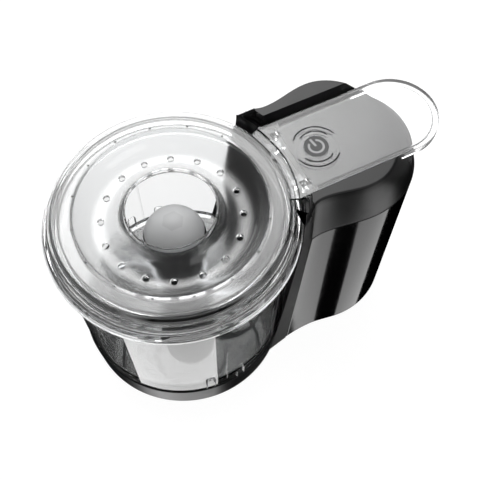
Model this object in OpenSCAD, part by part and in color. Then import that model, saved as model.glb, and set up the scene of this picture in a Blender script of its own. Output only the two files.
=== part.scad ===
// Compact electric food chopper: a round platform carries a clear bowl with a
// bi-level blade, a motor column stands beside it, and a clear press paddle on
// the lid reaches back over the column to a sprung pulse button.
// Millimetres, +Z up. The origin is on the table, at the middle of the outline.

/* [Base] */
// Height of the rubber feet below the base's lower edge
foot_h = 2; // [1:0.5:4]
// Radius of a rubber foot
foot_r = 6; // [4:0.5:7]
// Height of the bowl platform above the base's lower edge
platform_h = 18.5; // [17.5:0.5:24]
// Ledge of the platform outside the bowl's foot
platform_lip = 0.7; // [0.4:0.1:2]
// Inward draft of the platform's rim towards the table
platform_draft = 1.2; // [0:0.1:2.5]
// Wall of the moulded housings
shell_wall = 2.5; // [2:0.1:3]
// Thickness of the bottom cover
bottom_t = 2; // [1.5:0.1:2.4]

/* [Bowl] */
// Outer radius of the bowl at its foot
bowl_foot_r = 54.8; // [52:0.2:60]
// Outward flare of the bowl from foot to rim
bowl_flare = 2.4; // [1:0.1:4]
// Height of the bowl from the platform to its rim
bowl_h = 88.5; // [84:0.5:100]
// Wall of the bowl
bowl_wall = 2.2; // [1.8:0.1:3]
// Free height under the bowl's floor
bowl_floor_gap = 5.5; // [5:0.5:8]
// Wall of the tube that keeps food off the spindle
tube_wall = 2; // [1.5:0.1:3]

/* [Lid] */
// Height of the lid's ring above the bowl's rim
lid_rise = 11; // [10:0.5:14]
// Overhang of the lid's flange outside the bowl's rim
lid_overhang = 4.3; // [3.5:0.1:6]
// Width of the lid's flat ring
ring_w = 10.2; // [8:0.2:13]
// Radius of the opening in the middle of the lid
chimney_r = 20.4; // [18:0.2:24]
// Depth of the drip trough
trough_depth = 9; // [7:0.5:9.5]
// Wall of the lid
lid_wall = 2.2; // [1.6:0.1:2.6]
// Diameter of a drip hole
drip_hole_d = 2.3; // [1.5:0.1:3]
// Number of drip holes
drip_hole_count = 16; // [8:1:24]

/* [Paddle] */
// Half the width of the press paddle
paddle_half_w = 22.3; // [20:0.1:24]
// Reach of the paddle beyond the top panel
paddle_overhang = 18.4; // [12:0.2:24]
// Thickness of the paddle's plate
paddle_t = 2.2; // [1.8:0.1:2.6]
// Height of the paddle's edge skirt
paddle_skirt_h = 4.6; // [3.5:0.1:5]
// Radius of the paddle's hinge pins
hinge_pin_r = 1.25; // [1:0.05:1.5]
// Press of the paddle at its stop, in degrees
paddle_press = 2.5; // [1.5:0.1:2.6]

/* [Column] */
// Width of a shoulder beside the paddle, at its narrowest
shoulder_w = 5.1; // [4:0.1:8]
// Rise of the shoulders above the lid's ring
shoulder_rise = 5; // [3:0.5:8]
// Depth of the cover's seam below the lid's ring
seam_drop = 23; // [20:0.5:28]
// Depth of the top panel below the lid's ring
panel_drop = 7.5; // [7.4:0.1:9]
// Thickness of the top panel
panel_t = 1.8; // [1.2:0.1:2.4]
// Radius of the top panel's rear edge about the paddle's mark
panel_arc_r = 47; // [44:0.5:50]
// Outward lean of the cover from shoulder to seam
cover_lean = 2.6; // [1:0.1:5]
// Outward flare of the column from seam to table
column_flare = 7; // [3:0.5:10]
// Run of the cradle's side faces around the bowl
cradle_side = 7.2; // [6:0.2:9]

/* [Drive] */
// Radius of the drive spindle
spindle_r = 4; // [3.5:0.1:4.5]
// Running radius of the spindle pulley
spindle_pulley_r = 22.5; // [18:0.5:25]
// Running radius of the motor pulley
motor_pulley_r = 7.5; // [6:0.5:9]
// Width of the drive belt
belt_w = 4.8; // [4:0.1:5.5]
// Radius of the motor's can
motor_r = 21; // [19:0.5:21.5]
// Free height between the motor and the switch bracket
motor_headroom = 6.7; // [3:0.1:12]
// Thickness of the motor's magnets
magnet_t = 4.3; // [3.5:0.1:4.8]
// Radius of the motor's shaft
motor_shaft_r = 2.5; // [2:0.1:3]
// Reach of the blades from the spindle's axis
blade_reach = 48; // [40:0.5:50]
// Thickness of a blade
blade_t = 1.4; // [1:0.1:2]
// Radius of the blade hub's domed top
hub_dome_r = 15.5; // [14:0.5:17]
// Radius of the blade hub's stem
hub_stem_r = 13; // [12:0.5:14]

/* [Button] */
// Radius of the pulse button's head
button_head_r = 10.5; // [9:0.5:12]
// Radius of the pulse button's stem
button_r = 6.5; // [6.25:0.25:7]
// Distance from the paddle's hinge to the button
button_arm = 15.5; // [15:0.5:18]

/* [Hidden] */
$fn = 96;
running = 0.05;
seated = 0.02;
close_gap = 0.3;
slip_gap = 0.5;
overlap = 1;

// Heights
base_z = foot_h;
cover_z = base_z + close_gap;
cover_top = cover_z + bottom_t;
deck_z = base_z + platform_h;
bowl_rim_z = deck_z + bowl_h;
ring_z = bowl_rim_z + lid_rise;
seam_z = ring_z - seam_drop;
shoulder_z = ring_z + shoulder_rise;
panel_z = ring_z - panel_drop;
channel_z = panel_z - panel_t;
cradle_top_z = ring_z - 2;
crown_z = ring_z - 5;

// Bowl and lid
bowl_rim_r = bowl_foot_r + bowl_flare;
bowl_mouth_r = bowl_rim_r - bowl_wall;
bowl_floor_z = deck_z + bowl_floor_gap;
bowl_floor_t = 2.4;
bowl_inside_z = bowl_floor_z + bowl_floor_t;
tube_bore_r = spindle_r + 1;
tube_r = tube_bore_r + tube_wall;
flange_r = bowl_rim_r + lid_overhang;
ring_r = bowl_rim_r - 2;
trough_r = ring_r - ring_w;
trough_rim_r = chimney_r + 1.55;
trough_mid_r = (trough_r + trough_rim_r) / 2;
trough_half = (trough_r - trough_rim_r) / 2;
trough_arc_r = (trough_half * trough_half + trough_depth * trough_depth) / (2 * trough_depth);
trough_centre = trough_arc_r - trough_depth;
plug_r = bowl_mouth_r - 0.7;
plug_t = 1.8;
plug_depth = lid_rise + 3;
flange_t = 2.2;
flange_drop = lid_rise + 1.4;

// Base platform
platform_r = bowl_foot_r + platform_lip;
deck_t = shell_wall;
rim_in_r = platform_r - platform_draft - shell_wall;
locator_r = bowl_foot_r - bowl_wall - slip_gap;
window_half = 26;
neck_half = 19;

// Paddle and its hinge
hinge_y = flange_r + 0.5;
hinge_z = ring_z - 5.2;
knuckle_r = hinge_pin_r + 1.4;
ear_x = 9;
ear_w = 4;
knuckle_w = 3.6;
paddle_top = ring_z + 0.6;
paddle_under = paddle_top - paddle_t;
paddle_skirt_t = 2.4;
paddle_front_r = flange_r - 2;
button_y = hinge_y + button_arm;
mark_y = hinge_y + 14;
panel_end = mark_y + panel_arc_r;
paddle_end = panel_end + paddle_overhang;
channel_half = paddle_half_w + 2.2;
axis_y = -(paddle_end - flange_r) / 2;

// Motor and drive line
cradle_t = shell_wall;
front_seam_r = flange_r + 0.7;
motor_y = front_seam_r + cradle_t + 2 + motor_r;
deck_r = motor_r + 2;
pulley_z = cover_top + 1.7;
flange_plate_t = 0.8;
belt_play = 0.3;
pulley_h = belt_w + 2 * (belt_play + flange_plate_t);
pulley_top = pulley_z + pulley_h;
belt_z = pulley_z + flange_plate_t + belt_play;
belt_t = 1.6;
belt_gap = 0.15;
boss_top = bowl_floor_z - 1;
boss_low = pulley_top + 1;
bush_r = spindle_r + 3;
seal_h = 1.5;
bush_h = (boss_top - seal_h - boss_low - 1.6) / 2;
ring_mount_h = 3;
low_cap_z = deck_z + ring_mount_h;
low_cap_h = 5.5;
can_z = low_cap_z + low_cap_h;
high_cap_h = 10;
can_wall = 1.5;
rotor_gap = 0.7;
rotor_r = motor_r - can_wall - magnet_t - rotor_gap;
commutator_r = 7;
motor_bush_r = motor_shaft_r + 2.5;

// Screw posts of the upper cover, on a circle about the motor
post_r = 3.5;
post_ring_r = motor_r + 7;
post_angles = [-25, 38, 142, 205];
screw_r = 1.5;
screw_head_r = 2.8;
screw_head_h = 1.6;
screw_run = 12;

// Blade hub
hub_low_z = bowl_inside_z + 1;
hub_bore_r = tube_r + slip_gap;
tube_top = bowl_rim_z - 25;
hub_centre_z = ring_z - 27;
hex_r = spindle_r;
hex_top = tube_top + 10;
spindle_top = hex_top - 1;
low_blade_z = bowl_inside_z + 8;
high_blade_z = low_blade_z + 19;
blade_neck_r = hub_stem_r - 2;

// Button and switch
cover_floor_t = 2.4;
channel_under = channel_z - cover_floor_t;
button_top = paddle_under - 1.6;
button_flange_r = button_r + 2.4;
button_flange_t = 2;
button_flange_z = channel_under - close_gap - button_flange_t;
bracket_z = channel_under - 15;
bracket_t = 2;
bracket_top = bracket_z + bracket_t;
switch_size = [12.8, 5.8, 6.5];
switch_top = bracket_top + switch_size[2];
plunger_h = 1.5;
stem_low = switch_top + plunger_h;
stem_r = 3;
bracket_post_x = button_flange_r + 3.6;
bracket_post_r = 3;
spring_wire = 0.5;
spring_r = button_flange_r - 0.9;
spring_turns = 4;
spring_low = bracket_top + spring_wire;
spring_high = button_flange_z - spring_wire;

// Height of the motor, under the switch bracket
cap_boss_h = 2.6;
shaft_top = bracket_z - motor_headroom;
high_cap_z = shaft_top - cap_boss_h - high_cap_h;
motor_can_h = high_cap_z - can_z;
core_end_gap = 11;
core_low = can_z + core_end_gap;
core_high = high_cap_z - core_end_gap;

// Plan of the column at four heights: height, front half-width, waist half-width,
// belly half-width, front radius about the bowl, then the runs from the front
// corner back to the waist, on to the belly and on to the rear
waist_top = channel_half + shoulder_w;
waist_seam = waist_top + cover_lean;
waist_low = waist_seam + column_flare;
LEVEL_LOW = [base_z, waist_low + 2.8, waist_low, waist_low + 2.5, platform_r + 0.9, 20.2, 22, 44];
LEVEL_SEAM = [seam_z, waist_seam + 4.3, waist_seam, waist_seam + 3, front_seam_r, 11.7, 28, 40.5];
LEVEL_CROWN = [crown_z, waist_top + 5.9, waist_top + 0.7, waist_top + 4.6, front_seam_r, 11.9, 26, 36];
LEVEL_TOP = [shoulder_z, waist_top + 5.7, waist_top, waist_top + 3.5, front_seam_r, 12.2, 24, 27];

function between(a, b, z) = let (t = (z - a[0]) / (b[0] - a[0])) a + (b - a) * t;
function front_y(l) = sqrt(l[4] * l[4] - l[1] * l[1]);
function split_y(l) = front_y(l) + cradle_side;
function waist_y(l) = front_y(l) + l[5];
function belly_y(l) = waist_y(l) + l[6];
function front_x(l, y) = l[2] + (l[1] - l[2]) * pow(1 - (y - front_y(l)) / l[5], 2);

// Points along one flank, from just behind the cradle's edge to the middle of the rear
function flank(l, inset) = concat(
    [for (i = [0:3])
        let (start = split_y(l) + (inset > 0 ? 1 : 0), y = start + (waist_y(l) - start) * i / 4)
        [front_x(l, y) - inset, y]],
    [for (i = [0:9])
        let (t = i / 10)
        [l[2] + (l[3] - l[2]) * (1 - cos(180 * t)) / 2 - inset, waist_y(l) + l[6] * t]],
    [for (i = [0:15])
        let (a = 90 * i / 16)
        [(l[3] - inset) * cos(a), belly_y(l) + (l[7] - inset) * sin(a)]],
    [[0, belly_y(l) + l[7] - inset]]);
function mirrored(points) = [for (i = [len(points) - 1:-1:0]) [-points[i][0], points[i][1]]];
function without_last(points) = [for (i = [0:len(points) - 2]) points[i]];
function both_flanks(l, inset) = concat(without_last(flank(l, inset)), mirrored(flank(l, inset)));

// Closed plan between the flanks, straight across at the front
function column_plan(l, inset, ahead = 0) =
    let (points = both_flanks(l, inset), y = split_y(l) - ahead)
    ahead > 0 ? concat([[points[0][0], y]], points, [[-points[0][0], y]]) : points;

// Plans of the cradle's two side faces and of the strip that its wall lies in
function cradle_sides(l) =
    let (low = front_y(l) - overlap,
        high = split_y(l) - seated,
        side = [for (i = [0:5]) let (y = low + (high - low) * i / 5) [front_x(l, y), y]])
    concat(side, mirrored(side));
function cradle_strip(l) =
    let (x = front_x(l, split_y(l)) - shell_wall - 1, low = split_y(l) - 6, high = l[4] + 2 * cradle_t)
    [[x, low], [x, high], [-x, high], [-x, low]];

module at_bowl() {
    translate([0, axis_y, 0]) children();
}

module at_motor() {
    translate([0, axis_y + motor_y, 0]) children();
}

module at_button() {
    translate([0, axis_y + button_y, 0]) children();
}

module tube(outer, inner, low, high) {
    translate([0, 0, low])
        difference() {
            cylinder(r = outer, h = high - low);
            translate([0, 0, -overlap]) cylinder(r = inner, h = high - low + 2 * overlap);
        }
}

module rod(r, low, high) {
    translate([0, 0, low]) cylinder(r = r, h = high - low);
}

// Solid between stacked rings of points that are the same on both sides of a line
module loft(rings) {
    n = len(rings[0]);
    last = len(rings) - 1;
    half = floor((n - 1) / 2);
    strips = [for (i = [0:half - 1])
        i + 1 < n - 2 - i ? [i, i + 1, n - 2 - i, n - 1 - i] : [i, i + 1, n - 1 - i]];
    points = [for (ring = rings) for (p = ring) p];
    walls = [for (k = [0:last - 1]) for (i = [0:n - 1])
        let (j = (i + 1) % n)
        each [[k * n + i, (k + 1) * n + i, (k + 1) * n + j], [k * n + i, (k + 1) * n + j, k * n + j]]];
    lids = [for (strip = strips) [for (k = [len(strip) - 1:-1:0]) last * n + strip[k]]];
    polyhedron(points, concat(walls, strips, lids), convexity = 10);
}

function raised(plan, z) = [for (p = plan) [p[0], p[1], z]];

module post_places() {
    for (a = post_angles)
        translate([post_ring_r * cos(a), motor_y + post_ring_r * sin(a), 0]) children();
}

module foot_places() {
    for (s = [-1, 1]) {
        translate([s * 0.6 * rim_in_r, -0.48 * rim_in_r, 0]) children();
        translate([s * (waist_low - foot_r - shell_wall - 1.5), motor_y + 2, 0]) children();
    }
}

platform_screw_angles = [-90, 20, 160];
module platform_screw_places() {
    for (a = platform_screw_angles)
        rotate([0, 0, a]) translate([0.78 * rim_in_r, 0, 0]) children();
}

module pan_screw(low, run) {
    rod(screw_head_r, low, low + screw_head_h);
    rod(screw_r, low + screw_head_h, low + screw_head_h + run);
}

// Housings

module base_platform() {
    color("#141416") at_bowl()
        difference() {
            union() {
                rotate_extrude()
                    polygon([
                        [rim_in_r, base_z],
                        [platform_r - platform_draft, base_z],
                        [platform_r, deck_z - 0.6],
                        [platform_r - 0.6, deck_z],
                        [locator_r, deck_z],
                        [locator_r, deck_z + 2.4],
                        [locator_r - 2, deck_z + 2.4],
                        [locator_r - 2, deck_z],
                        [bush_r + 1, deck_z],
                        [bush_r + 1, deck_z - deck_t],
                        [rim_in_r, deck_z - deck_t]]);
                rod(bush_r + 3, boss_low, boss_top);
                translate([-neck_half, 0, deck_z - deck_t]) cube([2 * neck_half, motor_y, deck_t]);
                translate([0, motor_y, 0]) rod(deck_r, deck_z - deck_t, deck_z);
                platform_screw_places() rod(post_r, cover_top, deck_z - overlap);
            }
            rod(bush_r + seated, boss_low - overlap, boss_low + bush_h);
            rod(bush_r - 1.5, boss_low, boss_top);
            rod(bush_r + seated, boss_low + bush_h + 1.6, boss_top + overlap);
            translate([0, motor_y, 0]) rod(motor_bush_r + 5, base_z, deck_z + overlap);
            motor_screw_places() rod(screw_r + close_gap, base_z, deck_z + overlap);
            translate([-window_half, 0, base_z - overlap])
                cube([2 * window_half, platform_r + overlap, platform_h - deck_t + overlap]);
            platform_screw_places() rod(screw_r + seated, base_z, cover_top + screw_run);
        }
}

module motor_screw_places() {
    for (s = [-1, 1]) translate([s * (motor_bush_r + 9), motor_y, 0]) children();
}

grommet_z = base_z + 15;
grommet_r = 6;
board_y = motor_y + motor_r + 4;
board_t = 1.6;
board_half = 15;
board_low = can_z + 8;
board_h = 40;
board_rib_x = 9;
board_rib_w = 4;

function rear_y(z) = let (l = between(LEVEL_LOW, LEVEL_SEAM, z)) belly_y(l) + l[7];
grommet_in = rear_y(grommet_z) - shell_wall - 2;
grommet_out = rear_y(grommet_z) + 0.8;

module motor_housing() {
    color("#101012") at_bowl()
        difference() {
            union() {
                difference() {
                    loft([raised(column_plan(LEVEL_LOW, 0), base_z),
                        raised(column_plan(LEVEL_SEAM, 0), seam_z)]);
                    loft([raised(column_plan(LEVEL_LOW, shell_wall, overlap), base_z - overlap),
                        raised(column_plan(LEVEL_LOW, shell_wall, overlap), base_z),
                        raised(column_plan(LEVEL_SEAM, shell_wall, overlap), seam_z),
                        raised(column_plan(LEVEL_SEAM, shell_wall, overlap), seam_z + overlap)]);
                }
                translate([0, grommet_in, grommet_z]) rotate([-90, 0, 0])
                    cylinder(r = grommet_r + 3, h = grommet_out - grommet_in);
                intersection() {
                    loft([raised(column_plan(LEVEL_LOW, shell_wall / 2), base_z),
                        raised(column_plan(LEVEL_SEAM, shell_wall / 2), seam_z)]);
                    union() {
                        for (s = [-1, 1]) {
                            translate([s * (board_rib_x + board_rib_w / 2) - board_rib_w / 2,
                                board_y + board_t, board_low])
                                cube([board_rib_w, 3 * motor_r, board_h]);
                            translate([s > 0 ? waist_low - 6 : -waist_low - 14, motor_y - 24, cover_top])
                                cube([20, 8, 4]);
                        }
                    }
                }
            }
            translate([0, grommet_in - overlap, grommet_z]) rotate([-90, 0, 0])
                cylinder(r = grommet_r + seated, h = grommet_out - grommet_in + 2 * overlap);
            board_screw_places() rotate([-90, 0, 0]) cylinder(r = 1 + seated, h = 6);
        }
}

module board_screw_places() {
    for (s = [-1, 1]) for (z = [board_low + 5, board_low + board_h - 5])
        translate([s * (board_rib_x + board_rib_w / 2), board_y, z]) children();
}

// Space about the bowl's axis in front of the column, grown by a margin
module bowl_space(margin) {
    low = between(LEVEL_LOW, LEVEL_SEAM, base_z - overlap);
    rotate_extrude()
        polygon([
            [0, low[0]], [low[4] + margin, low[0]], [front_seam_r + margin, seam_z],
            [front_seam_r + margin, shoulder_z + overlap], [0, shoulder_z + overlap]]);
}

module cradle() {
    top_level = between(LEVEL_CROWN, LEVEL_TOP, cradle_top_z);
    color("#0d0d0f") at_bowl()
        difference() {
            union() {
                loft([
                    raised(cradle_sides(LEVEL_LOW), base_z),
                    raised(cradle_sides(LEVEL_SEAM), seam_z),
                    raised(cradle_sides(LEVEL_CROWN), crown_z),
                    raised(cradle_sides(top_level), cradle_top_z)]);
                intersection() {
                    loft([
                        raised(cradle_strip(LEVEL_LOW), base_z),
                        raised(cradle_strip(LEVEL_SEAM), seam_z),
                        raised(cradle_strip(LEVEL_CROWN), crown_z),
                        raised(cradle_strip(top_level), cradle_top_z)]);
                    bowl_space(cradle_t - close_gap);
                }
            }
            bowl_space(0);
            translate([-window_half - close_gap, 0, base_z - overlap])
                cube([2 * (window_half + close_gap), 2 * platform_r, platform_h + overlap + close_gap]);
            translate([-channel_half, 0, channel_z])
                cube([2 * channel_half, 2 * platform_r, 2 * panel_drop]);
        }
}

module upper_cover() {
    floor_level = between(LEVEL_SEAM, LEVEL_CROWN, channel_under);
    color("#1b1b1d") at_bowl()
        difference() {
            union() {
                difference() {
                    loft([
                        raised(column_plan(LEVEL_SEAM, 0), seam_z),
                        raised(column_plan(LEVEL_CROWN, 0), crown_z),
                        raised(column_plan(LEVEL_TOP, 0), shoulder_z)]);
                    bowl_space(cradle_t);
                    difference() {
                        loft([
                            raised(column_plan(LEVEL_SEAM, shell_wall), seam_z - overlap),
                            raised(column_plan(floor_level, shell_wall), channel_under)]);
                        bowl_space(cradle_t + shell_wall);
                    }
                }
                post_places() rod(post_r, cover_top + close_gap, channel_under + overlap);
                translate([0, button_y, 0])
                    for (s = [-1, 1]) translate([s * bracket_post_x, 0, 0])
                        rod(bracket_post_r, bracket_top, channel_under + overlap);
            }
            translate([-channel_half, 0, channel_z])
                cube([2 * channel_half, 2 * paddle_end, 4 * panel_drop]);
            translate([0, button_y, 0]) rod(button_r + 0.7, channel_under - overlap, channel_z + overlap);
            post_places() rod(screw_r + seated, cover_top, cover_top + close_gap + screw_run + overlap);
            translate([0, button_y, 0])
                for (s = [-1, 1]) translate([s * bracket_post_x, 0, 0])
                    rod(1.2 + seated, bracket_top - overlap, bracket_top + 9);
        }
}

panel_half = channel_half - close_gap;
panel_front = hinge_y + knuckle_r + 2;

module top_panel() {
    color("#2a2a2c") at_bowl()
        translate([0, 0, channel_z])
            linear_extrude(panel_t)
                difference() {
                    intersection() {
                        translate([-panel_half, panel_front]) square([2 * panel_half, panel_end - panel_front]);
                        translate([0, mark_y]) circle(r = panel_arc_r);
                    }
                    translate([0, button_y]) circle(r = button_r + 0.4);
                }
}

vent_count = 6;
vent_step = 6;
vent_size = [3, 14];

module bottom_cover() {
    neck = window_half - close_gap;
    color("#1c1c1e") at_bowl()
        difference() {
            translate([0, 0, cover_z])
                linear_extrude(bottom_t)
                    difference() {
                        union() {
                            circle(r = rim_in_r - close_gap);
                            difference() {
                                polygon(column_plan(LEVEL_LOW, shell_wall + close_gap));
                                circle(r = LEVEL_LOW[4] + cradle_t + slip_gap);
                            }
                            translate([-neck, 0]) square([2 * neck, motor_y]);
                        }
                        for (i = [0:vent_count - 1])
                            translate([(i - (vent_count - 1) / 2) * vent_step - vent_size[0] / 2,
                                motor_y + motor_pulley_r + 4])
                                square(vent_size);
                    }
            post_places() rod(screw_r + 0.2, base_z, cover_top + overlap);
            platform_screw_places() rod(screw_r + 0.2, base_z, cover_top + overlap);
        }
}

module feet() {
    color("#2b2b2b") at_bowl()
        foot_places()
            rotate_extrude()
                polygon([[0, 0], [foot_r - 0.8, 0], [foot_r, 0.8], [foot_r, cover_z], [0, cover_z]]);
}

module bottom_screws() {
    color("#8d9094") at_bowl()
        post_places() pan_screw(cover_z - screw_head_h, screw_run);
}

module platform_screws() {
    color("#8d9094") at_bowl()
        platform_screw_places() pan_screw(cover_z - screw_head_h, screw_run);
}

module cord_grommet() {
    lip = 1.8;
    color("#1a1a1a") at_bowl()
        translate([0, 0, grommet_z]) rotate([-90, 0, 0])
            rotate_extrude()
                polygon([
                    [3.2, grommet_in - lip], [grommet_r + 1.6, grommet_in - lip],
                    [grommet_r + 1.6, grommet_in], [grommet_r, grommet_in],
                    [grommet_r, grommet_out], [grommet_r + 1.6, grommet_out],
                    [grommet_r + 1, grommet_out + lip], [3.2, grommet_out + lip]]);
}

// Spindle and belt

module spindle_bush_lower() {
    color("#b08d57") at_bowl() tube(bush_r, spindle_r + running, boss_low, boss_low + bush_h);
}

module spindle_bush_upper() {
    low = boss_low + bush_h + 1.6;
    color("#b08d57") at_bowl() tube(bush_r, spindle_r + running, low, low + bush_h);
}

module spindle_seal() {
    color("#3a3a3a") at_bowl() tube(bush_r, spindle_r + running, boss_top - seal_h, boss_top);
}

module drive_spindle() {
    color("#c9ccd0") at_bowl() {
        rod(spindle_r - 1, pulley_z - 1.3, pulley_z);
        rod(spindle_r, pulley_z, tube_top + 0.5);
        translate([0, 0, tube_top + 0.5]) cylinder(r = hex_r, h = spindle_top - tube_top - 0.5, $fn = 6);
    }
}

module flanged_pulley(r, bore) {
    rotate_extrude()
        polygon([
            [bore, pulley_z], [r + 2, pulley_z], [r + 2, pulley_z + flange_plate_t],
            [r, pulley_z + flange_plate_t], [r, pulley_top - flange_plate_t],
            [r + 2, pulley_top - flange_plate_t], [r + 2, pulley_top], [bore, pulley_top]]);
}

module spindle_pulley() {
    hole_ring = (spindle_pulley_r + spindle_r) / 2;
    color("#d8d4c8") at_bowl()
        difference() {
            flanged_pulley(spindle_pulley_r, spindle_r + seated);
            for (a = [0:60:300])
                rotate([0, 0, a]) translate([hole_ring, 0, 0]) rod(4, pulley_z - overlap, pulley_top + overlap);
        }
}

module retaining_ring() {
    color("#7d8084") at_bowl() tube(spindle_r + 2, spindle_r - 1 + seated, pulley_z - 1, pulley_z - 0.1);
}

module thrust_washer() {
    color("#b9bcc0") at_bowl() tube(spindle_r + 4, spindle_r + seated, pulley_top, pulley_top + 0.7);
}

// Plan of a loop stretched round both pulleys, grown by a margin
module belt_loop(margin) {
    big = spindle_pulley_r + margin;
    small = motor_pulley_r + margin;
    lean = asin((big - small) / motor_y);
    steps = 48;
    polygon(concat(
        [for (i = [0:steps])
            let (a = 180 - lean + (180 + 2 * lean) * i / steps)
            [big * cos(a), big * sin(a)]],
        [for (i = [0:steps])
            let (a = lean + (180 - 2 * lean) * i / steps)
            [small * cos(a), motor_y + small * sin(a)]]));
}

module drive_belt() {
    color("#262626") at_bowl()
        translate([0, 0, belt_z])
            linear_extrude(belt_w)
                difference() {
                    belt_loop(belt_gap + belt_t);
                    belt_loop(belt_gap);
                }
}

// Motor

module motor_mount_ring() {
    color("#303030") at_motor()
        difference() {
            tube(motor_r, motor_bush_r + 5, deck_z, low_cap_z);
            for (s = [-1, 1]) translate([s * (motor_bush_r + 9), 0, 0])
                rod(screw_r + close_gap, deck_z - overlap, low_cap_z + overlap);
        }
}

module motor_lower_cap() {
    color("#9aa0a6") at_motor()
        difference() {
            union() {
                rod(motor_r, low_cap_z, can_z - 1);
                rod(motor_r - can_wall - seated, low_cap_z, can_z + 1);
                rod(motor_bush_r + 2.5, deck_z, low_cap_z + overlap);
            }
            rod(motor_bush_r + seated, deck_z - overlap, can_z - 2);
            rod(motor_shaft_r + 1, deck_z, can_z + 2);
            rod(motor_r - 5, can_z - 2, can_z + 2);
            for (s = [-1, 1]) translate([s * (motor_bush_r + 9), 0, 0])
                rod(screw_r + seated, deck_z, can_z - 2.5);
        }
}

module motor_can() {
    color("#a7adb3") at_motor() tube(motor_r, motor_r - can_wall, can_z - 1, high_cap_z);
}

module motor_upper_cap() {
    inner = motor_r - can_wall - 1.2;
    color("#2f3a34") at_motor()
        difference() {
            union() {
                rod(motor_r, high_cap_z, high_cap_z + high_cap_h);
                rod(motor_r - can_wall - seated, high_cap_z - 2, high_cap_z);
                rod(motor_bush_r + 2, high_cap_z, shaft_top - 1);
            }
            rod(inner - 0.5, high_cap_z - 3, high_cap_z + high_cap_h - 2);
            rod(motor_bush_r + seated, high_cap_z, shaft_top - 1.8);
            rod(motor_shaft_r + 0.6, high_cap_z, shaft_top);
        }
}

module motor_bush_lower() {
    color("#b08d57") at_motor() tube(motor_bush_r, motor_shaft_r + running, deck_z, can_z - 2);
}

module motor_bush_upper() {
    color("#b08d57") at_motor()
        tube(motor_bush_r, motor_shaft_r + running, high_cap_z + high_cap_h - 3, shaft_top - 1.8);
}

module motor_magnets() {
    gap = motor_r / 3.5;
    color("#55585c") at_motor()
        difference() {
            tube(motor_r - can_wall - seated, rotor_r + rotor_gap, core_low, core_high);
            translate([-gap, -2 * motor_r, core_low - overlap]) cube([2 * gap, 4 * motor_r, motor_can_h]);
        }
}

module brushes() {
    reach = motor_r - can_wall - 2;
    color("#3b3b3d") at_motor()
        for (s = [-1, 1])
            difference() {
                translate([s > 0 ? commutator_r - 1 : -reach, -2.5, high_cap_z])
                    cube([reach - commutator_r + 1, 5, high_cap_h - 2]);
                rod(commutator_r + 0.1, high_cap_z - overlap, high_cap_z + high_cap_h);
            }
}

module motor_screws() {
    color("#8d9094") at_motor()
        for (s = [-1, 1]) translate([s * (motor_bush_r + 9), 0, 0])
            pan_screw(deck_z - deck_t - screw_head_h, deck_t + ring_mount_h + 2.6);
}

module motor_shaft() {
    color("#c9ccd0") at_motor() rod(motor_shaft_r, pulley_z - 0.8, shaft_top - 2.2);
}

module rotor_core() {
    color("#6d7074") at_motor()
        difference() {
            tube(rotor_r, motor_shaft_r + seated, core_low, core_high);
            for (a = [0:30:330])
                rotate([0, 0, a]) translate([rotor_r - 5, -0.9, core_low - overlap])
                    cube([6, 1.8, motor_can_h]);
        }
}

module rotor_windings() {
    color("#a8622c") at_motor()
        for (z = [core_low - 4, core_high])
            translate([0, 0, z])
                rotate_extrude()
                    polygon([
                        [motor_shaft_r + 2, 0], [rotor_r - 2.5, 0], [rotor_r - 1.5, 1],
                        [rotor_r - 1.5, 3], [rotor_r - 2.5, 4], [motor_shaft_r + 2, 4]]);
}

module commutator() {
    low = high_cap_z - 2;
    color("#b87b45") at_motor()
        difference() {
            tube(commutator_r, motor_shaft_r + seated, low, low + 8.4);
            for (a = [0:30:330])
                rotate([0, 0, a + 15]) translate([commutator_r - 0.8, -0.25, low - overlap]) cube([2, 0.5, 12]);
        }
}

fan_blades = 9;
module motor_fan() {
    low = can_z + 1.6;
    color("#38404a") at_motor() {
        tube(motor_shaft_r + 2.5, motor_shaft_r + seated, low, low + 4.6);
        tube(rotor_r + 2, motor_shaft_r + 1.5, low, low + 1);
        for (i = [0:fan_blades - 1])
            rotate([0, 0, 360 * i / fan_blades])
                translate([motor_shaft_r + 1.5, -0.5, low]) cube([rotor_r - motor_shaft_r, 1, 4.2]);
    }
}

module motor_pulley() {
    color("#b9bcc0") at_motor() flanged_pulley(motor_pulley_r, motor_shaft_r + seated);
}

// Pulse button, switch and board

module pulse_button() {
    color("#101012") at_button()
        rotate_extrude()
            polygon([
                [0, button_top], [button_head_r - 1.2, button_top - 0.2],
                [button_head_r - 0.3, button_top - 0.6], [button_head_r, button_top - 1.3],
                [button_head_r, panel_z + 1], [button_r, panel_z + 1], [button_r, button_flange_z],
                [button_r - 1.5, button_flange_z], [button_r - 1.5, panel_z],
                [stem_r, panel_z], [stem_r, stem_low], [0, stem_low]]);
}

module button_collar() {
    color("#1d1f22") at_button()
        tube(button_flange_r, button_r + seated, button_flange_z, button_flange_z + button_flange_t);
}

module switch_plunger() {
    color("#c23b2e") at_button() rod(1.6, switch_top - 2, stem_low);
}

module switch_body() {
    color("#1d1f22") at_button()
        difference() {
            translate([-switch_size[0] / 2, -switch_size[1] / 2, bracket_top]) cube(switch_size);
            rod(1.6 + 0.15, switch_top - 4, switch_top + overlap);
        }
}

module switch_bracket() {
    color("#6f757b") at_button()
        difference() {
            union() {
                rod(button_flange_r, bracket_z, bracket_top);
                translate([-bracket_post_x - 4, -5, bracket_z]) cube([2 * bracket_post_x + 8, 10, bracket_t]);
            }
            for (s = [-1, 1]) translate([s * bracket_post_x, 0, 0])
                rod(1.4, bracket_z - overlap, bracket_top + overlap);
        }
}

module switch_screws() {
    color("#8d9094") at_button()
        for (s = [-1, 1]) translate([s * bracket_post_x, 0, 0]) {
            rod(2.4, bracket_z - 1.4, bracket_z);
            rod(1.2, bracket_z, bracket_top + 7);
        }
}

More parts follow.
